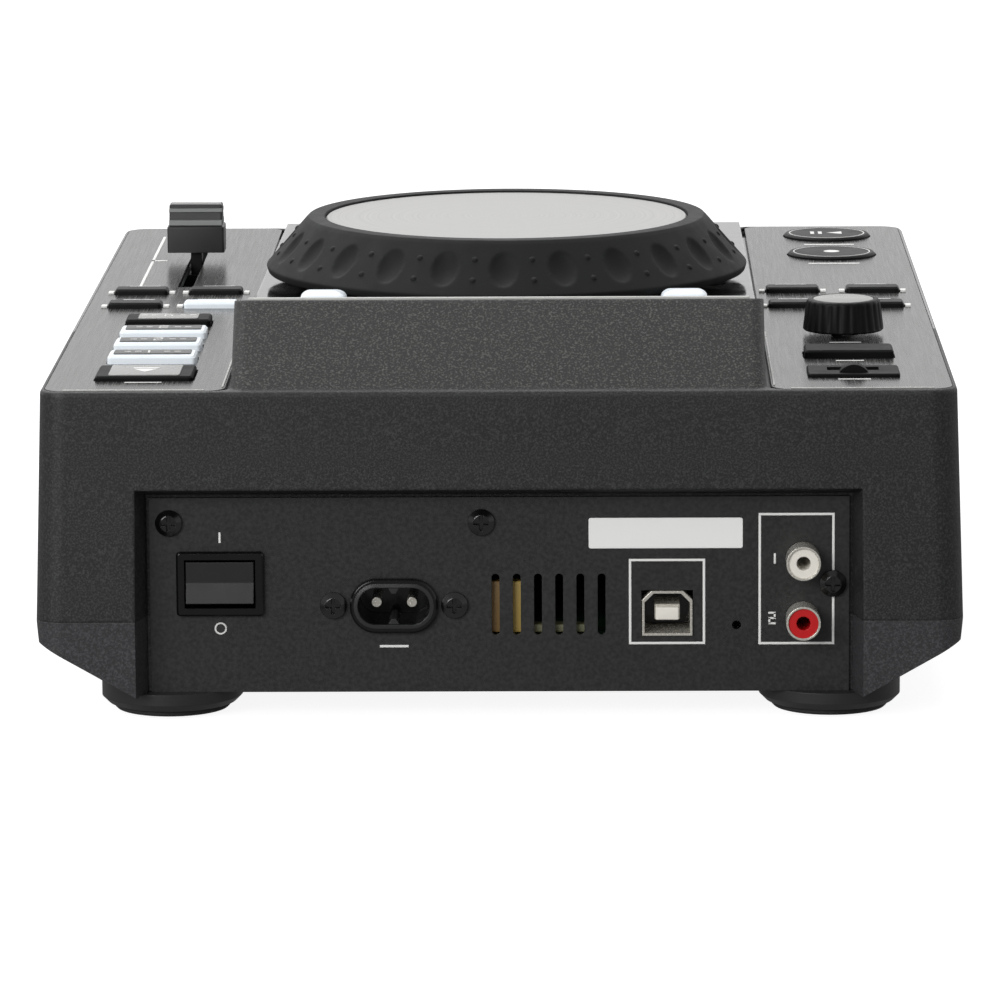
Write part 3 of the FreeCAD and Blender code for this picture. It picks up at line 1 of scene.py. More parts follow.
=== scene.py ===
import math

import bpy
from mathutils import Matrix, Vector


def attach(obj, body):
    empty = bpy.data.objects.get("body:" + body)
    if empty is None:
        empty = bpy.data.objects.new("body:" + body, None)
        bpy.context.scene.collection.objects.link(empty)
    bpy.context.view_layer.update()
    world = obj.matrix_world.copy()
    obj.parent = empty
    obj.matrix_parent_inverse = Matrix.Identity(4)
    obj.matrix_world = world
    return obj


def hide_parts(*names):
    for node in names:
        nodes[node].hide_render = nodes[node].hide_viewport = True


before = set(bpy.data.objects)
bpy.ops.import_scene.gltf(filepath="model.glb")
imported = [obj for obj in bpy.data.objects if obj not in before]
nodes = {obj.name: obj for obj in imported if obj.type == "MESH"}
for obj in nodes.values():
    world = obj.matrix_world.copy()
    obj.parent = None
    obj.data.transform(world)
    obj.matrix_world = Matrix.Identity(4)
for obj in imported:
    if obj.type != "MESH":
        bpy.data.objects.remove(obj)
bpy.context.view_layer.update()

mm = 0.001
sharpAngle = math.radians(32)


# Colour and node helpers
def linear(hexText):
    parts = [int(hexText[i:i + 2], 16) / 255 for i in (1, 3, 5)]
    return tuple(c / 12.92 if c <= 0.04045 else ((c + 0.055) / 1.055) ** 2.4 for c in parts) + (1.0,)


def addNode(tree, kind, settings=None, inputs=None, links=None):
    node = tree.nodes.new(kind)
    for name, value in (settings or {}).items():
        setattr(node, name, value)
    for name, value in (inputs or {}).items():
        node.inputs[name].default_value = value
    for name, source in (links or {}).items():
        tree.links.new(source, node.inputs[name])
    return node


def newMaterial(name, colour, rough, metallic=0.0, **sockets):
    material = bpy.data.materials.new(name)
    material.use_nodes = True
    tree = material.node_tree
    shader = tree.nodes["Principled BSDF"]
    shader.inputs["Base Color"].default_value = linear(colour)
    shader.inputs["Roughness"].default_value = rough
    shader.inputs["Metallic"].default_value = metallic
    for socket, value in sockets.items():
        shader.inputs[socket.replace("_", " ")].default_value = value
    return material, tree, shader


def place(tree):
    return addNode(tree, "ShaderNodeTexCoord").outputs["Object"]


def blendColours(tree, fac, dark, light):
    mix = addNode(tree, "ShaderNodeMix", {"data_type": "RGBA"}, links={0: fac})
    for socket, colour in ((6, dark), (7, light)):
        if isinstance(colour, str):
            mix.inputs[socket].default_value = linear(colour)
        else:
            tree.links.new(colour, mix.inputs[socket])
    return mix.outputs[2]


def remap(tree, value, low, high, fromLow=0.0, fromHigh=1.0):
    return addNode(tree, "ShaderNodeMapRange", inputs={"From Min": fromLow, "From Max": fromHigh, "To Min": low,
                                                       "To Max": high}, links={"Value": value}).outputs["Result"]


def calculate(tree, operation, first, second):
    node = addNode(tree, "ShaderNodeMath", {"operation": operation})
    for index, value in enumerate((first, second)):
        if isinstance(value, (int, float)):
            node.inputs[index].default_value = value
        else:
            tree.links.new(value, node.inputs[index])
    return node.outputs[0]


def noise(tree, grain, detail=3.0, rough=0.5, stretch=(1, 1, 1)):
    spread = addNode(tree, "ShaderNodeMapping", inputs={"Scale": stretch}, links={"Vector": place(tree)})
    return addNode(tree, "ShaderNodeTexNoise", inputs={"Scale": 1 / grain, "Detail": detail, "Roughness": rough},
                   links={"Vector": spread.outputs["Vector"]}).outputs["Fac"]


def varyColour(tree, shader, pattern, dark, light, low, high):
    colour = blendColours(tree, remap(tree, pattern, 0, 1, low, high), dark, light)
    tree.links.new(colour, shader.inputs["Base Color"])


def varyRoughness(tree, shader, pattern, low, high):
    tree.links.new(remap(tree, pattern, low, high, 0.3, 0.7), shader.inputs["Roughness"])


# Relief plus a small rounding of hard edges, so that moulded and folded edges catch a thin highlight
def relief(tree, shader, height, depth, strength=1.0, edge=0.3 * mm):
    soft = addNode(tree, "ShaderNodeBevel", {"samples": 4}, {"Radius": edge})
    node = addNode(tree, "ShaderNodeBump", inputs={"Strength": strength, "Distance": depth},
                   links={"Height": height, "Normal": soft.outputs["Normal"]})
    tree.links.new(node.outputs["Normal"], shader.inputs["Normal"])


# Finishes, each from what the real surface is
def grainedAbs(name, dark, light, rough, grain=0.45 * mm, depth=0.03 * mm):
    # ABS moulded against a spark-eroded tool: a fine even grain that glints where it catches light
    material, tree, shader = newMaterial(name, dark, rough, IOR=1.5)
    fine = noise(tree, grain, 2.0, 0.7)
    varyColour(tree, shader, fine, dark, light, 0.45, 0.75)
    varyRoughness(tree, shader, noise(tree, 38 * mm, 2.0), rough - 0.04, rough + 0.05)
    relief(tree, shader, fine, depth)
    return material


def upperShellAbs(name):
    # One moulding with three finishes: matt walls, a sparkling rear slope and a polished deck round the jog wheel
    look = {"wall": "#181818", "wallGlint": "#3f3f40", "slope": "#101010", "slopeGlint": "#5c5c58", "deck": "#0b0b0c",
            "raisedLevel": 81.2 * mm, "deckLevel": 79.3 * mm, "knee": 49 * mm, "wallRough": (0.46, 0.55),
            "deckRough": (0.04, 0.12), "grain": 0.5 * mm, "sparkle": 0.5 * mm, "wallPatch": 38 * mm,
            "deckPatch": 9 * mm, "depth": 0.03 * mm, "edge": 1.0 * mm, "rough": 0.5}
    material, tree, shader = newMaterial(name, look["wall"], look["rough"], IOR=1.5)
    spot = addNode(tree, "ShaderNodeSeparateXYZ", links={"Vector": place(tree)})
    raised = calculate(tree, "GREATER_THAN", spot.outputs["Z"], look["raisedLevel"])
    behind = calculate(tree, "GREATER_THAN", spot.outputs["Y"], look["knee"])
    slope = calculate(tree, "MULTIPLY", raised, behind)
    level = calculate(tree, "GREATER_THAN", spot.outputs["Z"], look["deckLevel"])
    ahead = calculate(tree, "SUBTRACT", 1.0, behind)
    deck = calculate(tree, "MULTIPLY", level, ahead)
    fine = noise(tree, look["grain"], 2.0, 0.7)
    glint = noise(tree, look["sparkle"], 1.0, 0.5)
    wall = blendColours(tree, remap(tree, fine, 0, 1, 0.45, 0.75), look["wall"], look["wallGlint"])
    rear = blendColours(tree, remap(tree, glint, 0, 1, 0.5, 0.82), look["slope"], look["slopeGlint"])
    colour = blendColours(tree, deck, blendColours(tree, slope, wall, rear), look["deck"])
    tree.links.new(colour, shader.inputs["Base Color"])
    matt, gloss = (remap(tree, noise(tree, look[part + "Patch"], detail), *look[part + "Rough"], 0.3, 0.7)
                   for part, detail in (("wall", 2.0), ("deck", 3.0)))
    rough = addNode(tree, "ShaderNodeMix", links={0: deck, 2: matt, 3: gloss}).outputs[0]
    tree.links.new(rough, shader.inputs["Roughness"])
    keep = calculate(tree, "SUBTRACT", 1.0, deck)
    relief(tree, shader, calculate(tree, "MULTIPLY", fine, keep), look["depth"], 1.0, look["edge"])
    return material


def smoothPlastic(name, colour, rough, wear=0.05, edge=0.3 * mm, **sockets):
    # ABS moulded against a polished tool, with faint handling marks in its gloss
    material, tree, shader = newMaterial(name, colour, rough, IOR=1.5, **sockets)
    varyRoughness(tree, shader, noise(tree, 6 * mm, 4.0, 0.6), max(rough - wear, 0.02), rough + wear)
    relief(tree, shader, noise(tree, 1.2 * mm, 2.0), 0.006 * mm, 0.5, edge)
    return material


def powderCoat(name, dark, light, rough):
    # Steel sheet with a baked powder coat: a low pebbled skin
    material, tree, shader = newMaterial(name, dark, rough, IOR=1.5)
    pebble = noise(tree, 0.9 * mm, 2.0, 0.5)
    varyColour(tree, shader, pebble, dark, light, 0.35, 0.7)
    varyRoughness(tree, shader, pebble, rough - 0.05, rough + 0.06)
    relief(tree, shader, pebble, 0.012 * mm, 0.6, 0.2 * mm)
    return material


def brushedMetal(name, dark, light, rough, metallic, lineWidth=0.35 * mm, along=(1, 0.02, 1)):
    # Sheet brushed one way on a belt: long fine lines that stretch reflections
    material, tree, shader = newMaterial(name, dark, rough, metallic)
    lines = noise(tree, lineWidth, 3.0, 0.6, along)
    varyColour(tree, shader, lines, dark, light, 0.35, 0.65)
    varyRoughness(tree, shader, lines, rough - 0.05, rough + 0.06)
    relief(tree, shader, lines, 0.006 * mm, 0.6)
    return material


def mouldedRubber(name, dark, light, rough):
    # Moulded rubber: matt, faintly mottled where hands rub it
    material, tree, shader = newMaterial(name, dark, rough, IOR=1.5, Specular_IOR_Level=0.35)
    mottle = noise(tree, 5 * mm, 4.0, 0.65)
    varyColour(tree, shader, mottle, dark, light, 0.35, 0.7)
    varyRoughness(tree, shader, mottle, rough - 0.07, rough + 0.06)
    relief(tree, shader, noise(tree, 0.5 * mm, 2.0), 0.02 * mm)
    return material


def spunDisc(name, dark, light, rough, centre, ringWidth=0.7 * mm):
    # Anodised aluminium turned on a lathe: fine circles round its centre
    material, tree, shader = newMaterial(name, light, rough, 0.35)
    shifted = addNode(tree, "ShaderNodeVectorMath", {"operation": "SUBTRACT"}, links={0: place(tree)})
    shifted.inputs[1].default_value = centre
    flat = addNode(tree, "ShaderNodeVectorMath", {"operation": "MULTIPLY"}, links={0: shifted.outputs[0]})
    flat.inputs[1].default_value = (1, 1, 0)
    radius = addNode(tree, "ShaderNodeVectorMath", {"operation": "LENGTH"}, links={0: flat.outputs[0]})
    rings = addNode(tree, "ShaderNodeTexNoise", {"noise_dimensions": "1D"},
                    {"Scale": 1 / ringWidth, "Detail": 4.0}, {"W": radius.outputs["Value"]}).outputs["Fac"]
    varyColour(tree, shader, rings, dark, light, 0.3, 0.7)
    varyRoughness(tree, shader, rings, rough - 0.05, rough + 0.07)
    relief(tree, shader, rings, 0.004 * mm, 0.5)
    return material


def litPlastic(name, colour, glow):
    # Milky acrylic with a lamp behind it: an even soft glow
    material, tree, shader = newMaterial(name, colour, 0.3, IOR=1.49, Emission_Strength=glow)
    shader.inputs["Emission Color"].default_value = linear(colour)
    varyRoughness(tree, shader, noise(tree, 3 * mm, 2.0), 0.26, 0.36)
    return material


print("materials")
finish = {
    "caseAbs": grainedAbs("lowerShellAbs", "#2a2a2c", "#4e4e51", 0.5, 0.5 * mm),
    "upperAbs": upperShellAbs("upperShellAbs"),
    "panelPaint": powderCoat("panelPowderCoat", "#1e1e1e", "#2a2a2a", 0.45),
    "plate": brushedMetal("brushedDarkPlate", "#2a2a29", "#454544", 0.24, 0.35),
    "rubber": mouldedRubber("jogRubber", "#0b0b0c", "#141415", 0.72),
    "footRubber": mouldedRubber("footRubber", "#242424", "#303030", 0.65),
    "footPlastic": smoothPlastic("footAbs", "#262627", 0.42),
    "disc": spunDisc("spunAluminium", "#959594", "#adacaa", 0.42, (0, -12.5 * mm, 0)),
    "keyBlack": smoothPlastic("satinBlackKey", "#0d0d0e", 0.5, Specular_IOR_Level=0.2),
    # Pale grey strips: painted highlights on the plates' edges and a painted reflection behind the screen window
    "brightTrim": smoothPlastic("brightTrim", "#b4b4b1", 0.3),
    # Pale grey: painted reflection on the black knob's top face
    "knobTop": smoothPlastic("paintedKnobTopReflection", "#8b8b88", 0.24),
    "keyWhite": litPlastic("litAcrylic", "#e6edf3", 0.16),
    "padTop": smoothPlastic("smokedPadTop", "#2a2b2c", 0.3),
    "gloss": smoothPlastic("glossBlackSocket", "#0a0a0b", 0.16),
    "socketEdge": smoothPlastic("greySocketRim", "#2c2c2d", 0.3),
    "screw": smoothPlastic("blackOxideScrew", "#050505", 0.2, Specular_IOR_Level=0.9),
    "rocker": smoothPlastic("satinRocker", "#1b1b1c", 0.5),
    "nickel": brushedMetal("nickelPlate", "#d8d4ca", "#efece2", 0.24, 0.65, 0.5 * mm, (1, 1, 1)),
    "white": smoothPlastic("whiteInsulator", "#e9e5dc", 0.35),
    "red": smoothPlastic("redInsulator", "#c01418", 0.3),
    "steel": brushedMetal("groundSteel", "#8a8a88", "#b9b9b6", 0.3, 1.0),
    "tin": brushedMetal("zincSheet", "#8e8f90", "#aeb0b1", 0.38, 1.0, 2.5 * mm, (1, 1, 1)),
    "board": smoothPlastic("solderMask", "#123a22", 0.4),
    "glass": smoothPlastic("smokedWindow", "#050607", 0.06),
    "screen": smoothPlastic("screenFace", "#10161c", 0.2),
    "brass": brushedMetal("turnedBrass", "#9c7c3a", "#c8a85e", 0.3, 1.0),
    "windingTape": smoothPlastic("windingTape", "#b99d52", 0.5),
    "copper": smoothPlastic("enamelledWinding", "#86693c", 0.4),
    "lacquer": smoothPlastic("boardLacquer", "#77765a", 0.5),
    "print": smoothPlastic("whiteInk", "#ededeb", 0.5),
    "sticker": smoothPlastic("paperLabel", "#f1f1ef", 0.55),
    "fader": smoothPlastic("satinFaderGrey", "#242426", 0.4),
    # Pale grey: painted highlight on the fader cap's ribs
    "faderRib": smoothPlastic("paintedFaderRibHighlight", "#7c7e7d", 0.4),
    "keyEnd": smoothPlastic("blackKeyEnd", "#0a0a0b", 0.6, Specular_IOR_Level=0.15),
    "keySmoke": smoothPlastic("paleSmokedKey", "#8f908e", 0.25),
    "screenInk": litPlastic("litScreenInk", "#8fc6ee", 0.8),
}
finishOfNode = {
    "bottom_case": "caseAbs", "top_case": "upperAbs", "left_top_plate": "plate", "right_top_plate": "plate",
    "rear_panel": "panelPaint", "panel_screws": "screw", "case_screws": "screw", "feet": "footPlastic",
    "foot_pads": "footRubber", "slot_bezel": "gloss", "display_window": "glass", "display_module": "screen",
    "main_board": "board", "power_board": "board", "control_boards": "board", "mains_inlet": "gloss",
    "inlet_pins": "nickel", "switch_frame": "gloss", "power_rocker": "rocker", "usb_b_socket": "nickel",
    "rca_sleeves": "nickel", "rca_ring_white": "white", "rca_ring_red": "red", "usb_a_socket": "keyEnd",
    "back_button": "keyEnd",
    "jog_bearing": "brass", "fader_body": "tin", "drive_frame": "tin", "drive_dampers": "footRubber",
    "guide_rods": "steel", "drive_motors": "tin", "jog_ring": "rubber", "jog_plate": "disc", "jog_shaft": "steel",
    "fader_cap": "fader", "fader_carriage": "keyBlack", "browse_knob": "keyBlack", "encoder_shaft": "steel",
    "turntable": "keyBlack", "feed_roller": "footRubber", "lead_screw": "steel", "pickup_sled": "keyBlack",
    "clamp_arm": "tin", "pad_1": "keyWhite", "pad_2": "keyWhite", "pad_3": "keyWhite", "key_right_1": "keyWhite",
    "deck_button_left": "keyWhite", "deck_button_right": "keyWhite", "pad_4": "keyEnd", "eject_button": "keyEnd",
}
for name, node in nodes.items():
    node.data.materials.clear()
    node.data.materials.append(finish[finishOfNode.get(name, "keyBlack")])


# Mesh helpers: every size below is in millimetres
def addPiece(name, points, faces, body, look, slotName, stands=()):
    mesh = bpy.data.meshes.new(name)
    mesh.from_pydata([tuple(c * mm for c in point) for point in points], [], faces)
    mesh.update()
    for face in mesh.polygons:
        face.use_smooth = True
    mesh.set_sharp_from_angle(angle=sharpAngle)
    mesh.materials.append(finish[look])
    piece = bpy.data.objects.new(name, mesh)
    bpy.context.collection.objects.link(piece)
    if stands:
        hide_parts(*stands)
    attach(piece, body)
    return piece


def loft(rings, loop=False):
    count = len(rings[0])
    points = [point for ring in rings for point in ring]
    spans = len(rings) if loop else len(rings) - 1
    faces = []
    for row in range(spans):
        low, high = row * count, (row + 1) % len(rings) * count
        for i in range(count):
            j = (i + 1) % count
            faces.append((low + i, low + j, high + j, high + i))
    if not loop:
        faces.append(tuple(reversed(range(count))))
        faces.append(tuple(range(len(points) - count, len(points))))
    return points, faces


def joined(parts):
    points, faces = [], []
    for morePoints, moreFaces in parts:
        shift = len(points)
        points += morePoints
        faces += [tuple(index + shift for index in face) for face in moreFaces]
    return points, faces


def roundedOutline(width, depth, corner, steps=6):
    outline = []
    for turn, (sx, sy) in enumerate(((1, 1), (-1, 1), (-1, -1), (1, -1))):
        for step in range(steps + 1):
            angle = math.pi / 2 * (turn + step / steps)
            outline.append((sx * (width / 2 - corner) + corner * math.cos(angle),
                            sy * (depth / 2 - corner) + corner * math.sin(angle)))
    return outline


def softBox(width, depth, height, corner, edge, at, steps=4, spread=1.0):
    x, y, z = at
    rings = [[(x + a, y + b, z) for a, b in roundedOutline(width, depth, corner)]]
    for step in range(steps + 1):
        angle = math.pi / 2 * step / steps
        inset = spread * edge * (1 - math.cos(angle))
        rise = height - edge + edge * math.sin(angle)
        outline = roundedOutline(width - 2 * inset, depth - 2 * inset, max(corner - inset, 0.05))
        rings.append([(x + a, y + b, z + rise) for a, b in outline])
    return loft(rings)


# Corners of an outline turned into short arcs
def eased(outline, radii, steps=4):
    result = []
    count = len(outline)
    for i, radius in enumerate(radii):
        here = Vector(outline[i])
        if radius <= 0:
            result.append(tuple(here))
            continue
        before = (Vector(outline[i - 1]) - here).normalized()
        after = (Vector(outline[(i + 1) % count]) - here).normalized()
        half = before.angle(after) / 2
        reach = radius / math.tan(half)
        start, end = here + before * reach, here + after * reach
        centre = here + (before + after).normalized() * (radius / math.sin(half))
        for step in range(steps + 1):
            share = step / steps
            spoke = (start - centre).lerp(end - centre, share).normalized() * radius
            result.append(tuple(centre + spoke))
    return result


# Flat shapes of ink or film on a face; each polygon is raised by the film's thickness
def film(polygons, face, level, thick=0.05):
    parts = []
    for polygon in polygons:
        if face == "top":
            rings = [[(u, v, level + h) for u, v in polygon] for h in (0, thick)]
        else:
            rings = [[(u, level + h, v) for u, v in reversed(polygon)] for h in (0, thick)]
        parts.append(loft(rings))
    return joined(parts)


def bar(u, v, width, height):
    return [(u - width / 2, v - height / 2), (u + width / 2, v - height / 2),
            (u + width / 2, v + height / 2), (u - width / 2, v + height / 2)]


def frameLines(left, right, low, high, pen):
    middleU, middleV = (left + right) / 2, (low + high) / 2
    return [bar(middleU, low, right - left + pen, pen), bar(middleU, high, right - left + pen, pen),
            bar(left, middleV, pen, high - low - pen), bar(right, middleV, pen, high - low - pen)]


def numeral(symbol, u, v, height, pen, mirror=1):
    strokes = {"0": "abcdef", "1": "bc", "2": "abged", "3": "abgcd", "4": "fgbc"}[symbol]
    half = height / 2
    wide = height * 0.5
    spots = {"a": (0, half, wide + pen, pen), "g": (0, 0, wide + pen, pen), "d": (0, -half, wide + pen, pen),
             "f": (-wide / 2, half / 2, pen, half), "b": (wide / 2, half / 2, pen, half),
             "e": (-wide / 2, -half / 2, pen, half), "c": (wide / 2, -half / 2, pen, half)}
    return [bar(u + mirror * spots[s][0], v + spots[s][1], spots[s][2], spots[s][3]) for s in strokes]


def disc(u, v, radius, steps=24):
    return [(u + radius * math.cos(2 * math.pi * i / steps), v + radius * math.sin(2 * math.pi * i / steps))
            for i in range(steps)]


def hoop(radius, pen, u, v, steps=32):
    quads = []
    for i in range(steps):
        a, b = 2 * math.pi * i / steps, 2 * math.pi * (i + 1) / steps
        quads.append([(u + r * math.cos(t), v + r * math.sin(t))
                      for r, t in ((radius, a), (radius + pen, a), (radius + pen, b), (radius, b))])
    return quads


# Jog wheel's grip: one sloping band with scooped ovals and small dots between them
print("jog grip")
grip = {"y": -12.5, "z": 87.9, "height": 14.8, "radius": 63.5, "skirt": 2.0, "top": 52.2, "edge": 0.9, "hole": 47.95,
        "seat": 12.5, "inner": 44.9, "scoops": 24, "stepsPerScoop": 28, "slopeSteps": 34, "scoopLength": 10.6,
        "scoopWidth": 7.0, "scoopDepth": 1.2, "scoopCurve": 0.75, "foot": 1, "footInset": 0.6,
        "rounds": (0, 0.8, 0.7, 0.8, 0.6, 0.3, 0, 0), "slopeLength": 8, "slopeReach": 0.3, "dotRadius": 0.8,
        "dotRise": 0.4, "dotPlaces": (0.3, 0.7), "dotSteps": 10,
        "dotProfile": ((1.0, -0.3), (1.0, 0.0), (0.8, 0.6), (0.35, 1.0))}


def buildGrip():
    g = grip
    low, high = Vector((g["radius"], g["skirt"])), Vector((g["top"] + g["edge"], g["height"] - g["edge"]))
    slope = high - low
    out = Vector((slope.y, -slope.x)).normalized()
    corner = eased([(g["inner"], g["foot"]), (g["radius"] - g["footInset"], 0), tuple(low), tuple(high),
                    (g["top"], g["height"]), (g["hole"], g["height"]), (g["hole"], g["seat"]),
                    (g["inner"], g["seat"])], g["rounds"])
    profile = []
    for i, spot in enumerate(corner):
        profile.append(Vector(spot))
        following = Vector(corner[(i + 1) % len(corner)])
        if (following - Vector(spot)).length > g["slopeLength"] and spot[1] < following.y and spot[0] > following.x:
            profile += [Vector(spot).lerp(following, k / g["slopeSteps"]) for k in range(1, g["slopeSteps"])]
    steps = g["scoops"] * g["stepsPerScoop"]
    middle = (low + high) / 2
    rings = []
    for spot in profile:
        along = (spot - middle).dot(slope.normalized())
        away = (spot - middle).dot(out)
        ring = []
        for step in range(steps):
            turn = 2 * math.pi * step / steps
            offset = (step % g["stepsPerScoop"]) / g["stepsPerScoop"]
            across = min(offset, 1 - offset) * 2 * math.pi / g["scoops"] * spot.x
            inside = 1 - (2 * along / g["scoopLength"]) ** 2 - (2 * across / g["scoopWidth"]) ** 2
            scooped = inside > 0 and abs(away) < g["slopeReach"]
            dip = g["scoopDepth"] * inside ** g["scoopCurve"] if scooped else 0
            r, z = spot.x - out.x * dip, spot.y - out.y * dip
            ring.append((r * math.cos(turn), g["y"] + r * math.sin(turn), g["z"] + z))
        rings.append(ring)
    parts = [loft(rings, loop=True)]
    for index in range(g["scoops"]):
        turn = 2 * math.pi * (index + 0.5) / g["scoops"]
        parts += [dot(low.lerp(high, share), out, turn) for share in g["dotPlaces"]]
    points, faces = joined(parts)
    addPiece("jogGrip", points, faces, "jog", "rubber", "rubber_black", ["jog_ring"])


def dot(spot, out, turn):
    g = grip
    radial = Vector((math.cos(turn), math.sin(turn), 0))
    normal = radial * out.x + Vector((0, 0, out.y))
    side = Vector((-math.sin(turn), math.cos(turn), 0))
    upward = normal.cross(side)
    base = radial * spot.x + Vector((0, g["y"], g["z"] + spot.y))
    rings = []
    for radius, rise in g["dotProfile"]:
        ring = []
        for step in range(g["dotSteps"]):
            angle = 2 * math.pi * step / g["dotSteps"]
            spoke = side * math.cos(angle) + upward * math.sin(angle)
            ring.append(tuple(base + normal * g["dotRise"] * rise + spoke * g["dotRadius"] * radius))
        rings.append(ring)
    return loft(rings)


buildGrip()

# Fader cap: a skirt, a narrower finger rest with ribs on both slopes, pale as a painted highlight, and a pointer line
# on top
print("fader cap")
cap = {"x": 86.3, "y": -80.0, "z": 83.9, "width": 15.6, "topWidth": 14.5, "depth": 10.0, "skirt": 7.2, "height": 13.1,
       "restHalf": 4.5, "topHalf": 2.8, "edge": 0.35, "corner": 0.6, "restSunk": 1,
       "ribs": ((0.02, 0.32), (0.62, 0.84)), "ribRise": 0.4, "ribTaper": 0.3, "ribRoot": 0.3, "ribSpare": 0.1,
       "ribEdge": 0.12, "pointerShort": 0.8, "pointerPen": 1.0, "pointerRise": 0.08}


def crossBar(outline, width, at, edge):
    x, y, z = at
    lowU, highU = min(u for u, v in outline), max(u for u, v in outline)
    lowV, highV = min(v for u, v in outline), max(v for u, v in outline)
    midU, midV = (lowU + highU) / 2, (lowV + highV) / 2
    rings = []
    for reach, inset in ((-width / 2, edge), (edge - width / 2, 0), (width / 2 - edge, 0), (width / 2, edge)):
        shrinkU, shrinkV = 1 - 2 * inset / (highU - lowU), 1 - 2 * inset / (highV - lowV)
        rings.append([(x + reach, y + midU + (u - midU) * shrinkU, z + midV + (v - midV) * shrinkV)
                      for u, v in outline])
    return loft(rings)


def buildCap():
    c = cap
    at = c["x"], c["y"], c["z"]
    skirt = softBox(c["width"], c["depth"], c["skirt"], c["corner"], c["edge"], at)
    foot = c["skirt"] - c["restSunk"]
    rest = eased([(c["restHalf"], foot), (c["restHalf"], c["skirt"]), (c["topHalf"], c["height"]),
                  (-c["topHalf"], c["height"]), (-c["restHalf"], c["skirt"]), (-c["restHalf"], foot)],
                 [0, 0, c["edge"], c["edge"], 0, 0])
    body = joined([skirt, crossBar(rest, c["topWidth"], at, c["edge"])])
    addPiece("faderCap", *body, "fader", "fader", "fader_grey", ["fader_cap"])
    low, high = Vector((c["restHalf"], c["skirt"])), Vector((c["topHalf"], c["height"]))
    outward = Vector((high.y - low.y, low.x - high.x)).normalized()
    taper = (high - low).normalized() * c["ribTaper"]
    root, crest = outward * c["ribRoot"], outward * c["ribRise"]
    ribs = []
    for start, end in c["ribs"]:
        near, far = low.lerp(high, start), low.lerp(high, end)
        rib = [near - root, near + taper / 2 + crest, far - taper + crest, far - root]
        for way in (1, -1):
            outline = [(way * spot.x, spot.y) for spot in rib]
            ribs.append(crossBar(outline, c["topWidth"] + c["ribSpare"], at, c["ribEdge"]))
    # Painted highlight: the ribs are coloured pale where their crests catch light
    addPiece("faderRibsPaintedLight", *joined(ribs), "fader", "faderRib", "fader_grey")
    line = bar(c["x"], c["y"], c["topWidth"] - c["pointerShort"], c["pointerPen"])
    pointer = film([line], "top", c["z"] + c["height"], c["pointerRise"])
    addPiece("faderPointer", *pointer, "fader", "print", "white_plastic")


buildCap()

# Browse knob: fluted side, eased crown and a pale disc on top, a painted reflection on the black top face. The side's
# rows are inset, height and flute share
print("browse knob")
knob = {"x": -86.3, "y": 58.5, "z": 82.2, "radius": 10.2, "height": 8.0, "taper": 0.8, "crown": 1.1, "flutes": 24,
        "fluteDepth": 0.32, "stepsPerFlute": 10, "side": ((0.35, 0.0, 0.0), (0.0, 0.35, 0.0), (0.03, 0.9, 1.0)),
        "shoulderOut": 0.05, "shoulderDrop": 0.3, "crownSteps": 5, "crownFlute": 0.8, "crownFade": 4,
        "dish": ((0.5, 0.0), (0.7, 0.2)), "centre": (0.4, 0.35), "reflectionRadius": 7.6, "reflectionFoot": 7.5,
        "reflectionBevel": 0.3, "reflectionEdge": 0.1, "reflectionSteps": 48}


def buildKnob():
    k = knob
    steps = k["flutes"] * k["stepsPerFlute"]
    top = k["radius"] - k["taper"]
    profile = [(k["radius"] - inset, rise, share) for inset, rise, share in k["side"]]
    profile.append((top + k["shoulderOut"], k["height"] - k["crown"] - k["shoulderDrop"], 1.0))
    for step in range(k["crownSteps"] + 1):
        angle = math.pi / 2 * step / k["crownSteps"]
        profile.append((top - k["crown"] * (1 - math.cos(angle)), k["height"] - k["crown"] * (1 - math.sin(angle)),
                        max(0.0, k["crownFlute"] - step / k["crownFade"])))
    profile += [(top - k["crown"] - inset, k["height"] - drop, 0) for inset, drop in k["dish"]]
    profile.append((k["centre"][0], k["height"] - k["centre"][1], 0))
    rings = []
    for radius, rise, share in profile:
        ring = []
        for step in range(steps):
            turn = 2 * math.pi * step / steps
            wave = 0.5 - 0.5 * math.cos(turn * k["flutes"])
            r = radius - k["fluteDepth"] * share * wave ** 2
            ring.append((k["x"] + r * math.cos(turn), k["y"] + r * math.sin(turn), k["z"] + rise))
        rings.append(ring)
    addPiece("browseKnob", *loft(rings), "knob", "keyBlack", "knob_black", ["browse_knob"])
    # Painted reflection: a pale disc on the knob's black top stands in for the light it mirrors
    reach = k["reflectionRadius"]
    edge = ((reach, k["reflectionFoot"]), (reach, k["height"] - k["reflectionEdge"]), (reach - k["reflectionBevel"], k["height"]))
    topPiece = [[(k["x"] + u, k["y"] + v, k["z"] + level) for u, v in disc(0, 0, radius, k["reflectionSteps"])]
              for radius, level in edge]
    addPiece("knobReflectionDisc", *loft(topPiece), "knob", "knobTop", "knob_black")


buildKnob()

# Keys: smoked inserts with printed signs, the lit keys by the jog wheel and the ink on the plates
print("keys")
smoke = {"sink": 0.05, "height": 0.3, "edge": 0.12, "inkLift": 0.24}
pad = {"x": 86.3, "y": 98.5, "pitch": 20.5, "top": 82.9, "shift": 0.9, "topPiece": (19.2, 6.4), "smoke": (15.4, 8.6),
       "corner": 0.6, "number": (3.6, 0.55), "dashes": (3.6, 6.2), "dash": (1.6, 0.6)}
eject = {"x": 86.3, "y": 122.1, "top": 82.2, "smoke": (17.4, 15.8), "corner": 0.8, "half": 3.2, "arrowFoot": 1.2,
         "arrowTip": 3.4, "barDrop": 2.8, "bar": (6.4, 1.1)}
roundKey = {"top": 81.9, "play": (-88.7, -126.0), "cue": (-88.7, -88.0), "hoop": (10.3, 0.35), "arrow": (4.2, 2.4),
            "pauseAt": (1.9, 4.1), "pause": (1.1, 4.8), "dot": 2.2}


def smokedInsert(name, size, corner, at, body, look):
    x, y, top = at
    box = softBox(*size, smoke["height"], corner, smoke["edge"], (x, y, top - smoke["sink"]))
    addPiece(name, *box, body, look, "key_grey")


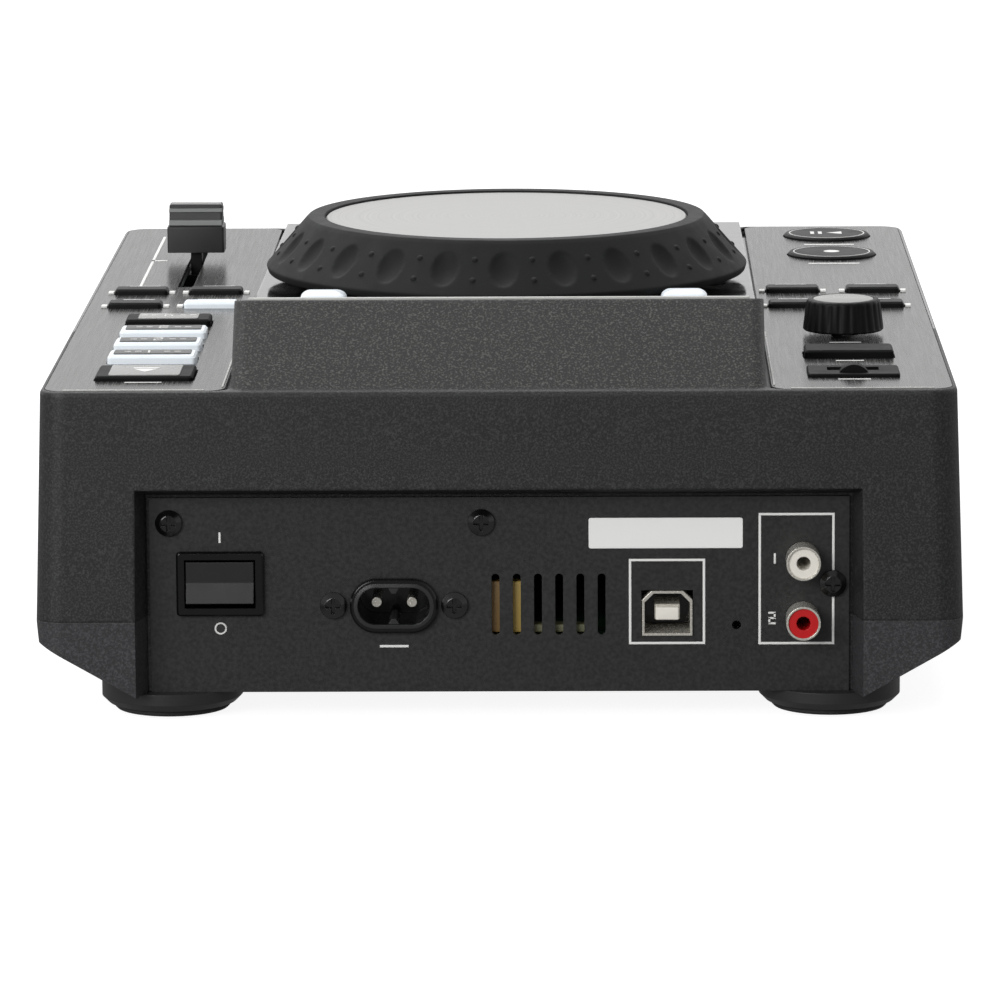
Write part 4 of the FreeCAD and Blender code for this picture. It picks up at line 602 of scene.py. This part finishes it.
def buildPads():
    p = pad
    for number in range(4):
        y = p["y"] - number * p["pitch"]
        body = f"pad_{number + 1}"
        if number < 3:
            smokedInsert(f"padTop{number + 1}", p["topPiece"], p["corner"], (p["x"], y - p["shift"], p["top"]), body,
                         "padTop")
        else:
            smokedInsert("padSmoke4", p["smoke"], p["corner"], (p["x"], y, p["top"]), body, "keySmoke")
        signs = numeral(str(number + 1), p["x"], y - p["shift"], *p["number"])
        signs += [bar(p["x"] + way * u, y - p["shift"], *p["dash"]) for way in (-1, 1) for u in p["dashes"]]
        addPiece(f"padSign{number + 1}", *film(signs, "top", p["top"] + smoke["inkLift"]), body, "print",
                 "white_plastic")
    e = eject
    x, y, foot = e["x"], e["y"], e["y"] - e["arrowFoot"]
    signs = [[(x - e["half"], foot), (x + e["half"], foot), (x, y + e["arrowTip"])],
             bar(x, y - e["barDrop"], *e["bar"])]
    addPiece("ejectSign", *film(signs, "top", e["top"] + smoke["inkLift"]), "eject_button", "print", "white_plastic")
    smokedInsert("ejectSmoke", e["smoke"], e["corner"], (x, y, e["top"]), "eject_button", "keySmoke")


def buildRoundSigns():
    r = roundKey
    x, y = r["play"]
    length, half = r["arrow"]
    play = hoop(*r["hoop"], x, y) + [[(x - length, y - half), (x, y), (x - length, y + half)]]
    play += [bar(x + reach, y, *r["pause"]) for reach in r["pauseAt"]]
    addPiece("playSign", *film(play, "top", r["top"]), "play_button", "print", "white_plastic")
    x, y = r["cue"]
    cue = hoop(*r["hoop"], x, y) + [disc(x, y, r["dot"])]
    addPiece("cueSign", *film(cue, "top", r["top"]), "cue_button", "print", "white_plastic")


# Each box here is its width, depth, height, corner and edge
deckKey = {"x": 46.2, "y": 42.5, "dome": (11.8, 9.0, 12.4, 2.0, 2.0), "domeFoot": 78.0, "domeSteps": 8,
           "domeSpread": 1.9, "flange": (13.4, 10.6, 1.4, 1.0, 0.2), "flangeFoot": 79.3}


def buildDeckKeys():
    k = deckKey
    for way, word in ((-1, "left"), (1, "right")):
        x, y = way * k["x"], k["y"]
        shape = joined([softBox(*k["dome"], (x, y, k["domeFoot"]), k["domeSteps"], k["domeSpread"]),
                        softBox(*k["flange"], (x, y, k["flangeFoot"]))])
        addPiece(f"deckKey{word.capitalize()}", *shape, f"deck_button_{word}", "keyWhite", "key_white",
                 [f"deck_button_{word}"])


# Key rows are given by middle, pitch and the two rows' places, bars of ink by middle and size
plateInk = {"top": 81.0, "rightKeys": (87.2, 19.8, (6.8, -17.8)), "leftKeys": (-86.3, 21.2, (9.8, -17.2)),
            "lampReach": 8.1, "lampShift": 0.4, "lamp": (1.5, 3.2), "lampRise": 0.5, "captionDrop": 12.4,
            "caption": (8.4, 1.7), "rightBars": ((86.3, 133.0, 9, 0.9), (98.4, -80, 0.8, 98), (96.6, -80, 4.4, 1.8)),
            "leftBars": ((-86.3, 102.4, 7, 1.0), (-86.3, 131.5, 8, 1.0), (-86.3, 72.6, 8, 0.8),
                         (-88.7, -108.2, 14, 1.6), (-88.7, -70.2, 14, 1.6))}


def buildPlateInk():
    p = plateInk
    lights = []
    for side in ("right", "left"):
        centre, pitch, rows = p[side + "Keys"]
        spots = [(centre + way * pitch / 2, y) for way in (-1, 1) for y in rows]
        lights += [bar(x + way * p["lampReach"], y + p["lampShift"], *p["lamp"]) for x, y in spots for way in (-1, 1)]
        ink = [bar(x, y - p["captionDrop"], *p["caption"]) for x, y in spots]
        ink += [bar(*line) for line in p[side + "Bars"]]
        addPiece(side + "PlateInk", *film(ink, "top", p["top"]), "case", "print", "white_plastic")
    addPiece("keyLamps", *film(lights, "top", p["top"], p["lampRise"]), "case", "print", "white_plastic")


buildPads()
buildRoundSigns()
buildDeckKeys()
buildPlateInk()

# Painted highlight and reflection: pale strips along the plates' rear and inner edges stand in for their lit edges,
# and a pale strip behind the screen window stands in for the window's reflection of the backdrop
print("highlightStrips")
highlightStrips = {"rise": 0.3, "pen": 0.55, "round": 0.1, "sink": 0.02, "plateRear": 145.7, "plateOuter": 108.9,
        "plateInner": 66.5, "plateTop": 81.0, "innerFront": 55.0, "rearShort": 8, "innerShort": 5,
        "reflectionStrip": (122.0, 1.4, 0.75, 0.3, 0.25), "reflectionStripPlace": (0, 123.4, 99.5)}


def buildHighlightStrips():
    t = highlightStrips
    foot = t["plateTop"] - t["sink"]
    section = t["rise"], t["round"], t["round"]
    run = t["plateOuter"] - t["plateInner"] - t["rearShort"]
    innerRear = t["plateRear"] - t["innerShort"]
    inner = innerRear - t["innerFront"]
    parts = []
    for way in (-1, 1):
        middle = way * (t["plateOuter"] + t["plateInner"]) / 2
        parts.append(softBox(run, t["pen"], *section, (middle, t["plateRear"], foot)))
        parts.append(softBox(t["pen"], inner, *section, (way * t["plateInner"], innerRear - inner / 2, foot)))
    # Painted highlight: pale strips on the plates' rear and inner edges
    addPiece("plateEdgeHighlights", *joined(parts), "case", "brightTrim", "plate_grey")
    # Painted reflection: a pale strip behind the screen window, where its slope mirrors the backdrop
    addPiece("windowReflectionStrip", *softBox(*t["reflectionStrip"], t["reflectionStripPlace"]), "case", "brightTrim", "panel_black")


buildHighlightStrips()

# Rear panel: ink lines, blank label, socket details and what glints behind the vents
print("rear panel")
rear = {"face": 141.5, "pen": 0.6, "usbBox": (-49.6, -31.7, 17.9, 38.4), "audioBox": (-80.9, -63.1, 17.8, 49.6),
        "label": (-40.35, 45.05, 37.3, 7.5), "labelCorner": 0.5, "labelSteps": 3, "labelRise": 0.12,
        "inlet": (25.6, 27.5), "inletBar": (7.0, 0.6), "inletBarDrop": 10.2, "rocker": (67.7, 33.0),
        "switchReach": 11.2, "off": (1.1, 0.4), "on": (0.5, 2.6), "usb": (-40.7, 25.3), "rca": (-73.5, (38.7, 24.0)),
        "numberReach": 7.4, "number": (2.6, 0.5)}


def buildRearInk():
    r = rear
    ink = frameLines(*r["usbBox"], r["pen"]) + frameLines(*r["audioBox"], r["pen"])
    x, levels = r["rca"]
    for symbol, z in zip("12", levels):
        ink += numeral(symbol, x + r["numberReach"], z, *r["number"], -1)
    x, z = r["rocker"]
    ink += hoop(*r["off"], x, z - r["switchReach"]) + [bar(x, z + r["switchReach"], *r["on"])]
    x, z = r["inlet"]
    ink.append(bar(x, z - r["inletBarDrop"], *r["inletBar"]))
    addPiece("rearInk", *film(ink, "rear", r["face"]), "case", "print", "white_plastic")
    u, v, width, height = r["label"]
    label = [(u + a, v + b) for a, b in roundedOutline(width, height, r["labelCorner"], r["labelSteps"])]
    addPiece("blankLabel", *film([label], "rear", r["face"], r["labelRise"]), "case", "sticker", "white_plastic")


# Inlet: two wedges that pinch its cavity to a figure 8, and the rim round it; levels are from the panel's face
inlet = {"wedgeRoot": (1.3, 4.45), "wedgeTip": (0.5, 3.1), "wedgeLevels": (-10.0, 1.75), "rimOuter": (19.6, 11.2, 5.4),
         "rimInner": (17.6, 9.2, 4.4), "rimSide": 1.78, "rimFront": 2.0, "rimBack": 1.3}


def buildInletDetail():
    n = inlet
    x, z = rear["inlet"]
    face = rear["face"]
    (rootHalf, root), (tipHalf, tip) = n["wedgeRoot"], n["wedgeTip"]
    wedge = ((-rootHalf, root), (-tipHalf, tip), (tipHalf, tip), (rootHalf, root))
    parts = [loft([[(x + way * u, face + level, z + way * v) for u, v in wedge] for level in n["wedgeLevels"]])
             for way in (1, -1)]
    addPiece("inletPinches", *joined(parts), "case", "socketEdge", "inlet_black")
    outer, inner = roundedOutline(*n["rimOuter"]), roundedOutline(*n["rimInner"])
    edges = (outer, n["rimSide"]), (inner, n["rimFront"]), (inner, n["rimBack"]), (outer, n["rimBack"])
    rim = [[(x + u, face + level, z + v) for u, v in outline] for outline, level in edges]
    addPiece("inletRim", *loft(rim, loop=True), "case", "socketEdge", "inlet_black")


socket = {"tongue": (5.6, 3.1, 12.0, 0.3, 0.25), "tongueFoot": 12.2, "tongueDrop": 0.2, "floor": (10.6, 9.4, 0.4),
          "floorLevels": (-11.9, -11.4)}


def buildSocketDetail():
    s = socket
    x, z = rear["usb"]
    face = rear["face"]
    tongue, faces = softBox(*s["tongue"], (0, 0, 0))
    points = [(x + a, face - s["tongueFoot"] + c, z - s["tongueDrop"] + b) for a, b, c in tongue]
    addPiece("usbTongue", points, faces, "case", "white", "white_plastic")
    wall = roundedOutline(*s["floor"])
    floor = [[(x + u, face + level, z + v) for u, v in wall] for level in s["floorLevels"]]
    addPiece("usbFloor", *loft(floor), "case", "gloss", "inlet_black")


# What shows behind each vent slot, by finish and height
vents = {"x": 0.9, "pitch": 5.14, "low": 20.2, "behind": 6.2, "width": 4.2, "depth": 4.0, "corner": 0.4, "edge": 0.3,
         "glints": (("copper", 12.6), ("windingTape", 12.6), ("lacquer", 1.9), ("lacquer", 1.9), ("lacquer", 1.9))}


def buildVentGlints():
    s = vents
    parts = {"windingTape": [], "copper": [], "lacquer": []}
    for index, (look, height) in enumerate(s["glints"]):
        x = s["x"] - index * s["pitch"]
        coil, faces = softBox(s["width"], height, s["depth"], s["corner"], s["edge"], (0, 0, 0))
        points = [(x + a, rear["face"] - s["behind"] + c, s["low"] + height / 2 + b) for a, b, c in coil]
        parts[look].append((points, faces))
    for look, pieces in parts.items():
        addPiece("ventGlint" + look.capitalize(), *joined(pieces), "case", look, "board_green")


buildRearInk()
buildInletDetail()
buildSocketDetail()
buildVentGlints()

# Screen: generic time digits and a level row on the sloping window
print("screen")
screen = {"y": 87.25, "z": 93.4, "rise": 12.8, "run": 74.5, "digits": "0102", "digitHeight": 15.0, "pen": 1.6,
          "digitX": -27, "digitY": 6, "digitPitch": 16, "pairGap": 4, "colonX": -1.2, "colonReach": 3, "bars": 21,
          "barX": -40, "barY": -14, "barPitch": 4, "barWidth": 2.6, "barLow": 3, "barSwing": 2.4, "barWave": 0.9,
          "lift": 0.03}


def buildScreen():
    s = screen
    tilt = math.atan2(s["rise"], s["run"])
    shapes = []
    for index, symbol in enumerate(s["digits"]):
        x = s["digitX"] + index * s["digitPitch"] + (s["pairGap"] if index > 1 else 0)
        shapes += numeral(symbol, x, s["digitY"], s["digitHeight"], s["pen"])
    shapes += [bar(s["colonX"], s["digitY"] + way * s["colonReach"], s["pen"], s["pen"]) for way in (1, -1)]
    for k in range(s["bars"]):
        height = s["barLow"] + s["barSwing"] * math.sin(k * s["barWave"]) ** 2
        shapes.append(bar(s["barX"] + k * s["barPitch"], s["barY"], s["barWidth"], height))
    points, faces = film(shapes, "top", s["lift"])
    tipped = []
    for x, y, z in points:
        along, up = y * math.cos(tilt) - z * math.sin(tilt), y * math.sin(tilt) + z * math.cos(tilt)
        tipped.append((x, s["y"] + along, s["z"] + up))
    addPiece("screenInk", tipped, faces, "case", "screenInk", "screen_grey")


buildScreen()

# Floor, backdrop and soft light: black plastic shows what it mirrors, so the backdrop is bright and the room dim
print("stage")
studio = {"floorHalf": 3.0, "floorLevel": -0.5 * mm, "floorSeen": 0.9, "floorMirrored": 0.24, "ambient": 0.5,
          "backdrop": 1.0, "room": 0.2, "backdropY": -0.5, "roomY": 0.6, "aim": (0, 0, 0.05)}
lamps = {"topSoftbox": {"power": 22, "size": (1.6, 1.2), "spot": (0.3, -0.9, 1.5)},
         "rearFill": {"power": 24, "size": (1.4, 0.8), "spot": (1.0, 1.7, 0.8)}}


def buildStage():
    bpy.ops.mesh.primitive_plane_add(size=2 * studio["floorHalf"], location=(0, 0, studio["floorLevel"]))
    floor = bpy.context.object
    floor.name = "floor"
    material, tree, shader = newMaterial("paleFloor", "#8c8c8c", 0.9)
    path = addNode(tree, "ShaderNodeLightPath")
    direct = calculate(tree, "MULTIPLY", path.outputs["Is Camera Ray"], studio["floorSeen"])
    glow = addNode(tree, "ShaderNodeEmission", links={"Strength": direct})
    seen = addNode(tree, "ShaderNodeAddShader", links={0: shader.outputs[0], 1: glow.outputs[0]})
    mirrored = addNode(tree, "ShaderNodeEmission", inputs={"Strength": studio["floorMirrored"]})
    mix = addNode(tree, "ShaderNodeMixShader", links={0: path.outputs["Is Glossy Ray"], 1: seen.outputs[0],
                                                      2: mirrored.outputs[0]})
    tree.links.new(mix.outputs[0], tree.nodes["Material Output"].inputs["Surface"])
    floor.data.materials.append(material)
    world = bpy.data.worlds.new("studio")
    bpy.context.scene.world = world
    world.use_nodes = True
    tree = world.node_tree
    path = addNode(tree, "ShaderNodeLightPath")
    way = addNode(tree, "ShaderNodeSeparateXYZ",
                  links={"Vector": addNode(tree, "ShaderNodeTexCoord").outputs["Generated"]})
    mirrored = remap(tree, way.outputs["Y"], studio["backdrop"], studio["room"], studio["backdropY"], studio["roomY"])
    glossy = addNode(tree, "ShaderNodeMix", links={0: path.outputs["Is Glossy Ray"], 3: mirrored})
    glossy.inputs[2].default_value = studio["ambient"]
    strength = calculate(tree, "MAXIMUM", glossy.outputs[0], path.outputs["Is Camera Ray"])
    back = tree.nodes["Background"]
    back.inputs["Color"].default_value = (1, 1, 1, 1)
    tree.links.new(strength, back.inputs["Strength"])


def addLamp(name, power, size, spot):
    lamp = bpy.data.lights.new(name, "AREA")
    lamp.shape = "RECTANGLE"
    lamp.size, lamp.size_y = size
    lamp.energy = power
    obj = bpy.data.objects.new(name, lamp)
    bpy.context.collection.objects.link(obj)
    obj.location = spot
    obj.rotation_euler = (Vector(studio["aim"]) - Vector(spot)).to_track_quat("-Z", "Y").to_euler()


buildStage()
for name, lamp in lamps.items():
    addLamp(name, **lamp)

# Camera, placed by fitting the case, panel and jog wheel to the photograph
print("camera")
shot = {"spot": (-24.285 * mm, 1653.124 * mm, 322.894 * mm), "yaw": 0.909, "pitch": 10.112, "roll": -0.338,
        "lens": 228.62, "sensor": 36.0, "clipEnd": 50}


def buildCamera():
    yaw, pitch, roll = (math.radians(shot[k]) for k in ("yaw", "pitch", "roll"))
    ahead = Vector((math.sin(yaw) * math.cos(pitch), -math.cos(yaw) * math.cos(pitch), -math.sin(pitch)))
    right = ahead.cross(Vector((0, 0, 1))).normalized()
    up = right.cross(ahead)
    rolledRight = math.cos(roll) * right + math.sin(roll) * up
    rolledUp = math.cos(roll) * up - math.sin(roll) * right
    camera = bpy.data.cameras.new("photoCamera")
    camera.lens = shot["lens"]
    camera.sensor_width = shot["sensor"]
    camera.clip_end = shot["clipEnd"]
    obj = bpy.data.objects.new("photoCamera", camera)
    bpy.context.collection.objects.link(obj)
    turn = Matrix((rolledRight, rolledUp, -ahead)).transposed()
    obj.matrix_world = Matrix.Translation(Vector(shot["spot"])) @ turn.to_4x4()
    bpy.context.scene.camera = obj


buildCamera()
bpy.context.scene.view_settings.view_transform = "Standard"
